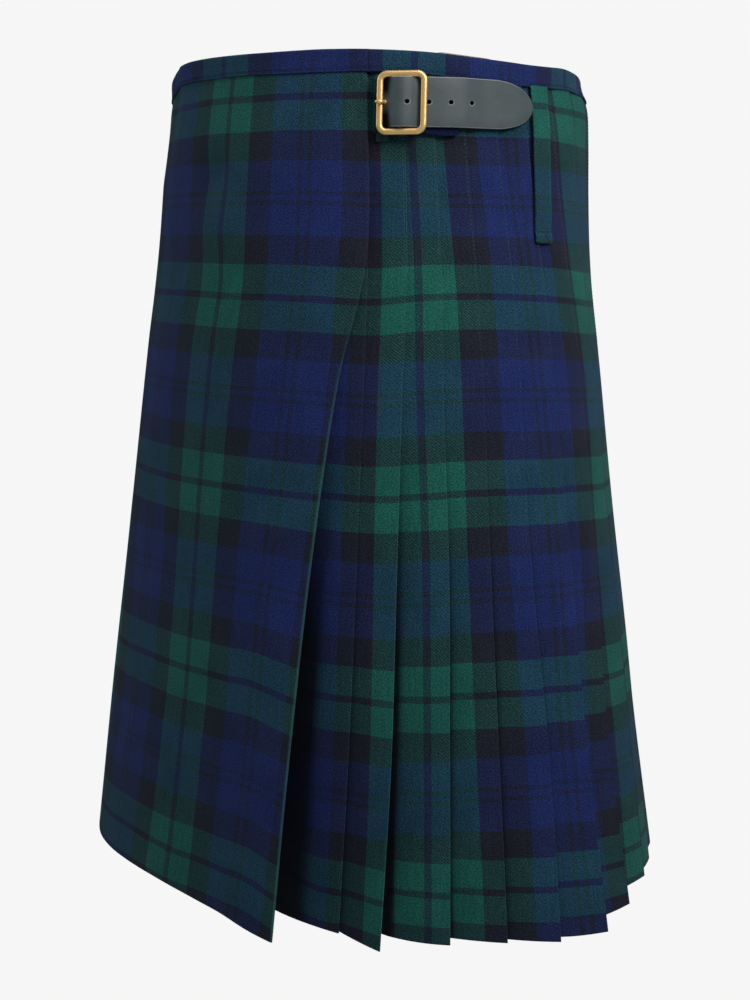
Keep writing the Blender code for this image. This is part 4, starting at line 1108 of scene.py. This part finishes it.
brass, t, skin = new_material("brass", Metallic=0.72)
place = t.nodes.new("ShaderNodeTexCoord")
wear = use_group(t, scuff, Size=110.0)
t.links.new(place.outputs["Object"], wear.inputs[0])
rubbed = wear.outputs[0]
t.links.new(mix_node(t, rubbed, (0.98, 0.64, 0.26), (0.84, 0.50, 0.18)), skin.inputs["Base Color"])
t.links.new(range_node(t, rubbed, 0.0, 1.0, 0.34, 0.43), skin.inputs["Roughness"])
t.links.new(bump_node(t, rubbed, 0.00003, 0.25), skin.inputs["Normal"])


def frame_w(s):
    """The frame leans: its far side rides up on the strap."""
    return LOW + (HIGH - LOW) * (s + BUCKLE_W / 2) / BUCKLE_W


def wire_rings(centres, radii, sides, up, middle, side, loop=False, squareness=2.0):
    """Rings round a line of centres, with a radius along their plane and one across it, round
    or squarer."""
    c = np.asarray(centres, float)
    nxt, prv = np.roll(c, -1, 0), np.roll(c, 1, 0)
    if not loop:
        nxt[-1], prv[0] = c[-1], c[0]
    way = unit(nxt - prv)
    u = unit(np.cross(way, up))
    v = np.cross(u, way)
    turn = 2 * np.pi * (np.arange(sides) + 0.5) / sides
    cu, cv = np.cos(turn), np.sin(turn)
    k = (np.abs(cu) ** squareness + np.abs(cv) ** squareness) ** (-1 / squareness)
    fat = np.broadcast_to(np.asarray(radii, float), (len(c), 2))
    p = (c[:, None] + u[:, None] * (cu * k)[None, :, None] * fat[:, None, :1]
         + v[:, None] * (cv * k)[None, :, None] * fat[:, None, 1:])
    return in_plane(p[..., 0], p[..., 1], p[..., 2], middle, side)


def rounded(left, right, low, high, radius, count, spacing):
    """A closed path with round corners, from the sides that their centres lie on, with so
    many points to a corner and such a spacing between."""
    path = []
    for s, z, start in ((right, high, 0), (left, high, 90), (left, low, 180), (right, low, 270)):
        for turn in np.radians(np.linspace(start, start + 90, count)):
            path.append((s + radius * math.cos(turn), z + radius * math.sin(turn)))
    path = np.array(path)
    fine = []
    for q0, q1 in zip(path, np.roll(path, -1, 0)):
        steps = max(1, int(np.hypot(*(q1 - q0)) / spacing))
        fine += [q0 + (q1 - q0) * k / steps for k in range(steps)]
    return np.array(fine)


def joined(name, parts, node):
    """Brass bodies as one piece."""
    points, faces = [], []
    for part in parts:
        start = len(points)
        points += [tuple(q.co) for q in part.data.vertices]
        faces += [tuple(start + k for k in f.vertices) for f in part.data.polygons]
        bpy.data.objects.remove(part)
    me = bpy.data.meshes.new(name)
    me.from_pydata(points, [], faces)
    ob = dress(me, brass, node)


ACROSS_FRAME, ACROSS_PIN = (0.0, 1.0, 0.0), (0.0, 0.0, 1.0)
for end, middle, side in HIPS:
    a, b, r = BUCKLE_W / 2 - WIRE / 2, BUCKLE_H / 2 - WIRE / 2, BUCKLE_R - WIRE / 2
    path = [(s + FRAME_ON, frame_w(s), z - FRAME_DOWN)
            for s, z in rounded(-a + r, a - r, -b + r, b - r, r, count=12, spacing=2.5)]
    mid = frame_w(0.0)
    bar_path = curve_through([(0, mid, -b), (0, mid * 0.4 + BAR * 0.6, -b + 2.2), (0, BAR, -b + 4.5),
                              (0, BAR, 0.0), (0, BAR, b - 4.5), (0, mid * 0.4 + BAR * 0.6, b - 2.2),
                              (0, mid, b)], 5)
    ring = wire_rings(path, (WIRE / 2, 1.6), 20, ACROSS_FRAME, middle, side, True, 2.7)
    bar = wire_rings(bar_path, (1.2, 1.2), 14, ACROSS_FRAME, middle, side)
    joined("buckle_" + end,
           [body("frame_" + end, ring, brass, loop=True), body("bar_" + end, bar, brass)],
           "buckle-" + end)

    near = frame_w(-BUCKLE_W / 2 + WIRE / 2)
    shank = curve_through([(-EYE_R, BAR - 0.3, 0), (-6.0, BAR - 1.0, 0), (PIN_HOLE - 0.6, near + 0.9, 0),
                           (-12.2, near + 3.3, 0), (-BUCKLE_W / 2 + 0.3, near + 3.1, 0)], 9)
    fat = np.full((len(shank), 2), 1.4)
    fat[-6:] *= np.sqrt(np.linspace(1, 0.10, 6))[:, None]
    eye = [(EYE_R * math.cos(q), BAR + EYE_R * math.sin(q), 0.0) for q in np.linspace(0, 2 * np.pi, 33)[:-1]]
    shank = wire_rings(shank, fat, 14, ACROSS_PIN, middle, side)
    eye = wire_rings(eye, (0.62, 1.5), 12, ACROSS_PIN, middle, side, True)
    joined("buckle_pin_" + end,
           [body("shank_" + end, shank, brass), body("eye_" + end, eye, brass, loop=True)],
           "buckle-pin-" + end)

# ------------------------------------------------------------------------------------------
# Buckle tabs and the bound slit.
# Each buckle hangs in a doubled strip of the navy cloth that turns round its middle bar and
# is slotted for the pin; the under-apron's strap comes out through a welted slit.
TAB_LOW, TAB_HIGH, TAB_LONG = -20.5, 16.2, 37.0
TAB_IN_FRAME = 13.6                    # half its height inside the frame


def outward(az):
    """Which way the cloth faces at the straps' height."""
    return (*pleat_line(np.array([az]), 0.0)[1][0], 0.0)


for end, middle, side in HIPS:
    turned = [(EYE_R * math.cos(q), BAR + EYE_R * math.sin(q))
              for q in np.radians(np.linspace(-75, -285, 22))]
    line = np.array([(TAB_LONG, 0.9), (TAB_LONG - 9, 1.0), (TAB_LONG - 18, 1.0), (9.0, 1.0), (6.5, 1.15),
                     (4.5, 1.6), *turned, (4.5, BAR + 0.2), (6.5, 3.7), (9.0, 2.8), (TAB_LONG - 18, 2.4),
                     (TAB_LONG - 9, 2.45), (TAB_LONG - 0.8, 2.4), (TAB_LONG, 2.2)])
    way = unit(np.gradient(line, axis=0))
    out = np.stack([way[:, 1], -way[:, 0]], 1) * 0.5
    ring, mid = np.vstack([line + out, (line - out)[::-1]]), np.vstack([line, line[::-1]])
    s = ring[:, 0]
    narrow = 1 - ease(s, 5.5, 10.0)
    fall = 1.6 * ease(s, 12.0, 34.0) - 1.0 * ease(s, TAB_LONG - 1.6, TAB_LONG)
    low = TAB_LOW + 0.9 - fall + (-TAB_IN_FRAME - TAB_LOW) * narrow
    high = TAB_HIGH + (TAB_IN_FRAME - TAB_HIGH) * narrow
    rings, uvs = [], []
    for q in (0, 0.006, 0.02, *np.linspace(0.06, 0.94, 12), 0.98, 0.994, 1.0):
        z = low + (high - low) * q
        squeeze = 0.35 * (1 - min(1.0, q / 0.02, (1 - q) / 0.02))
        at = ring + (mid - ring) * squeeze
        rings.append(on_waist(at[:, 0], at[:, 1], z, middle, side))
        uvs.append(np.stack([57.0 + 0.9 * s, 68.0 + z], -1))
    marks = np.zeros((len(rings), len(ring)))
    # the tab is painted dark all over: painted shade under the strap and buckle
    plain = body("tab_plain_" + end, rings, wool, None, uvs, marks, deep=marks + 0.66)
    corners = ((-1.0, -2.4), (12.0, -2.4), (12.0, 2.4), (-1.0, 2.4))
    hole = [[on_waist(s, w, z, middle, side) for w, z in corners] for s in (-4.0, 7.0)]
    slot_tool = body("tab_slot_" + end, hole, wool, None, np.zeros((2, 4, 2)), np.zeros((2, 4)))
    tab = cut_away(plain, [slot_tool], "buckle_tab_" + end, wool, "buckle-tab-" + end, 60.0)
    s = np.arange(11.0, TAB_LONG - 1.5, 0.5)
    low_line = on_waist(s, 3.0, TAB_LOW + 2.4 - 1.6 * ease(s, 12.0, 34.0), middle, side)
    sewn = stitches("tab_stitches_" + end, low_line, outward(middle), pitch=2.6, length=1.7, width=0.4,
                    lift=0.05)

green_thread = thread_colour("dark green thread", (0.012, 0.050, 0.055))
LIP_WIDE, LIP_HIGH = 1.35, 0.42        # half the welt's width and height
lip = rounded(left=-14.6, right=-11.2, low=-16.6, high=15.2, radius=1.5, count=7, spacing=1.2)
way = unit(np.roll(lip, -1, 0) - np.roll(lip, 1, 0))
out = np.stack([way[:, 1], -way[:, 0]], 1)
q = np.radians(np.arange(0, 360, 36))
rings, uvs = [], []
for k in range(len(lip)):
    pull = 1 + 0.10 * math.sin(k * 1.9)
    s = lip[k, 0] + out[k, 0] * LIP_WIDE * np.cos(q) * pull
    z = lip[k, 1] + out[k, 1] * LIP_WIDE * np.cos(q) * pull
    w = 0.05 + LIP_HIGH * np.sin(q) * pull
    rings.append(on_waist(s, w, z, LEFT_AZ, 1))
    uvs.append(np.stack([s, weft_mm(np.full(len(s), LEFT_AZ), z - 1.0)], -1))
marks = np.zeros((len(lip), len(q)))
# the binding is painted darker all over: painted shade
slit = body("slit_binding", rings, wool, "slit-binding", uvs, marks, True, marks + 0.48)
ends = []
for k, z in enumerate(np.arange(-19.6, -24.6, -0.42)):
    w = 0.75 - 0.5 * abs(k - 5.5) / 6
    for s in (-15.0, -10.8):
        ends.append((on_waist(s + 0.3 * (k % 2), w, z, LEFT_AZ, 1),
                     on_waist(s + 4.4 + 0.3 * (k % 2), w, z + 0.2, LEFT_AZ, 1)))
slit_tack = thread("slit_tack", ends, outward(LEFT_AZ), 0.55, green_thread)

# ------------------------------------------------------------------------------------------
# Belt loops.
# A strip of the tartan, folded in three, let in under the waistband, overcast along one
# side and tacked down at its foot; it stands a little clear of the cloth between.
LOOP_S, LOOP_W, LOOP_LOW = 102.6, 16.5, -89.0
# How far out its two faces stand, at levels from its top to its foot.
LOOP_IN = (0.1, 0.3, 0.8, 1.2, 0.9, 0.3, 0.2, 0.3, 0.3, 0.4)
LOOP_OUT = (1.7, 1.9, 2.3, 2.7, 2.4, 1.5, 1.3, 2.2, 2.0, 1.2)
# Across its top face, from the strap's side: rounded edges and a groove by the far one.
ACROSS = np.array([-1.0, -0.985, -0.94, -0.86, -0.6, -0.2, 0.2, 0.45, 0.56, 0.61, 0.64, 0.67, 0.72, 0.85,
                   0.94, 0.985, 1.0])
SWELL = np.array([-0.7, -0.35, -0.1, 0.0, 0.02, 0.05, 0.04, 0.02, -0.02, -0.35, -0.55, -0.35, -0.02, 0.0,
                  -0.1, -0.4, -0.7])
BENEATH = np.array([0.93, 0.3, -0.3, -0.93])
for end, middle, side, ground in (("left", LEFT_AZ, 1, pleats_left), ("right", RIGHT_AZ, -1, pleats_right)):
    top = float(rim(middle + side * 34.0)) - BAND_H + 0.8
    knots = [-top, -top + 5.0, -top + 20.0, 38.0] + [-LOOP_LOW - up for up in (20.0, 8.6, 7.6, 5.0, 1.2, 0.0)]
    z = np.concatenate([np.linspace(top, LOOP_LOW + 10, 60), np.linspace(LOOP_LOW + 9.6, LOOP_LOW, 30)])
    w_in, w_out = np.interp(-z, knots, LOOP_IN), np.interp(-z, knots, LOOP_OUT)
    sway = 0.3 * np.sin(z / 31.0 + 1.0) + 0.2 * np.sin(z / 11.0) + 0.5 * ease(-z, -20.0, 85.0)
    place = np.interp(middle, GIRTH_AZ, GIRTH0) + side * LOOP_S
    here = float(np.interp(place, GIRTH0, GIRTH_AZ))
    rings, uvs = [], []
    for zi, wi, wo, move in zip(z, w_in, w_out, sway * (side > 0)):
        narrow = 1.0 - 0.06 * ease(-zi, -20.0, 85.0) - 0.10 * ease(-zi, -LOOP_LOW - 1.6, -LOOP_LOW + 0.2)
        s = LOOP_S + move + LOOP_W / 2 * np.concatenate([ACROSS * narrow, narrow * BENEATH])
        w = np.concatenate([wo + SWELL * min(1.0, wo - wi), np.full(len(BENEATH), wi)])
        rings.append(on_waist(s, w, zi, middle, side))
        down = weft_mm(np.full(len(s), here), zi - (0 if side > 0 else RIGHT_DROP))
        uvs.append(np.stack([np.interp(s - LOOP_S - move, [-8.3, 3.8, 8.3], [-19.5, -6.5, -2.6]), down], -1))
    edge = np.zeros((len(z), len(ACROSS) + len(BENEATH)))
    edge[:, 12:14] = 0.30       # paler outside the groove: partly wear, partly a painted highlight on its ridge
    loop = body("belt_loop_" + end, rings, wool, "belt-loop-" + end, uvs, edge)
    ends = []
    for k, zi in enumerate(np.arange(top - 2.0, LOOP_LOW + 6.0, -2.1)):
        wo = float(np.interp(-zi, knots, LOOP_OUT))
        move = float(np.interp(-zi, -z, sway)) * (side > 0)
        s = LOOP_S + move - LOOP_W / 2 * (1 - 0.06 * float(ease(-zi, -20.0, 85.0)))
        drift = 0.35 * math.sin(k * 2.4)
        ends.append((on_waist(s - 0.55 + drift * 0.4, wo - 0.55, zi + 0.95, middle, side),
                     on_waist(s + 0.55 + drift * 0.3, wo - 0.05, zi - 0.85 + drift, middle, side)))
    overcast = thread("loop_overcast_" + end, ends, outward(here), 0.44, black_thread)
    # a close row over the foot, and two stitches straying down from it
    ends = []
    for k in range(11):
        s = LOOP_S - 5.9 + k * 1.18
        ends.append((on_waist(s, 1.55, LOOP_LOW + 8.4 + 0.25 * (k % 2), middle, side),
                     on_waist(s + 1.7, 1.55, LOOP_LOW + 7.7 + 0.2 * (k % 3), middle, side)))
    for pair in (((0.4, 2.35, 6.8), (2.3, 2.45, 3.8)), ((2.4, 2.45, 3.6), (3.4, 2.4, 1.6))):
        ends.append([on_waist(LOOP_S + s, w, LOOP_LOW + up, middle, side) for s, w, up in pair])
    tack = thread("loop_tack_" + end, ends, outward(here), 0.7, green_thread)
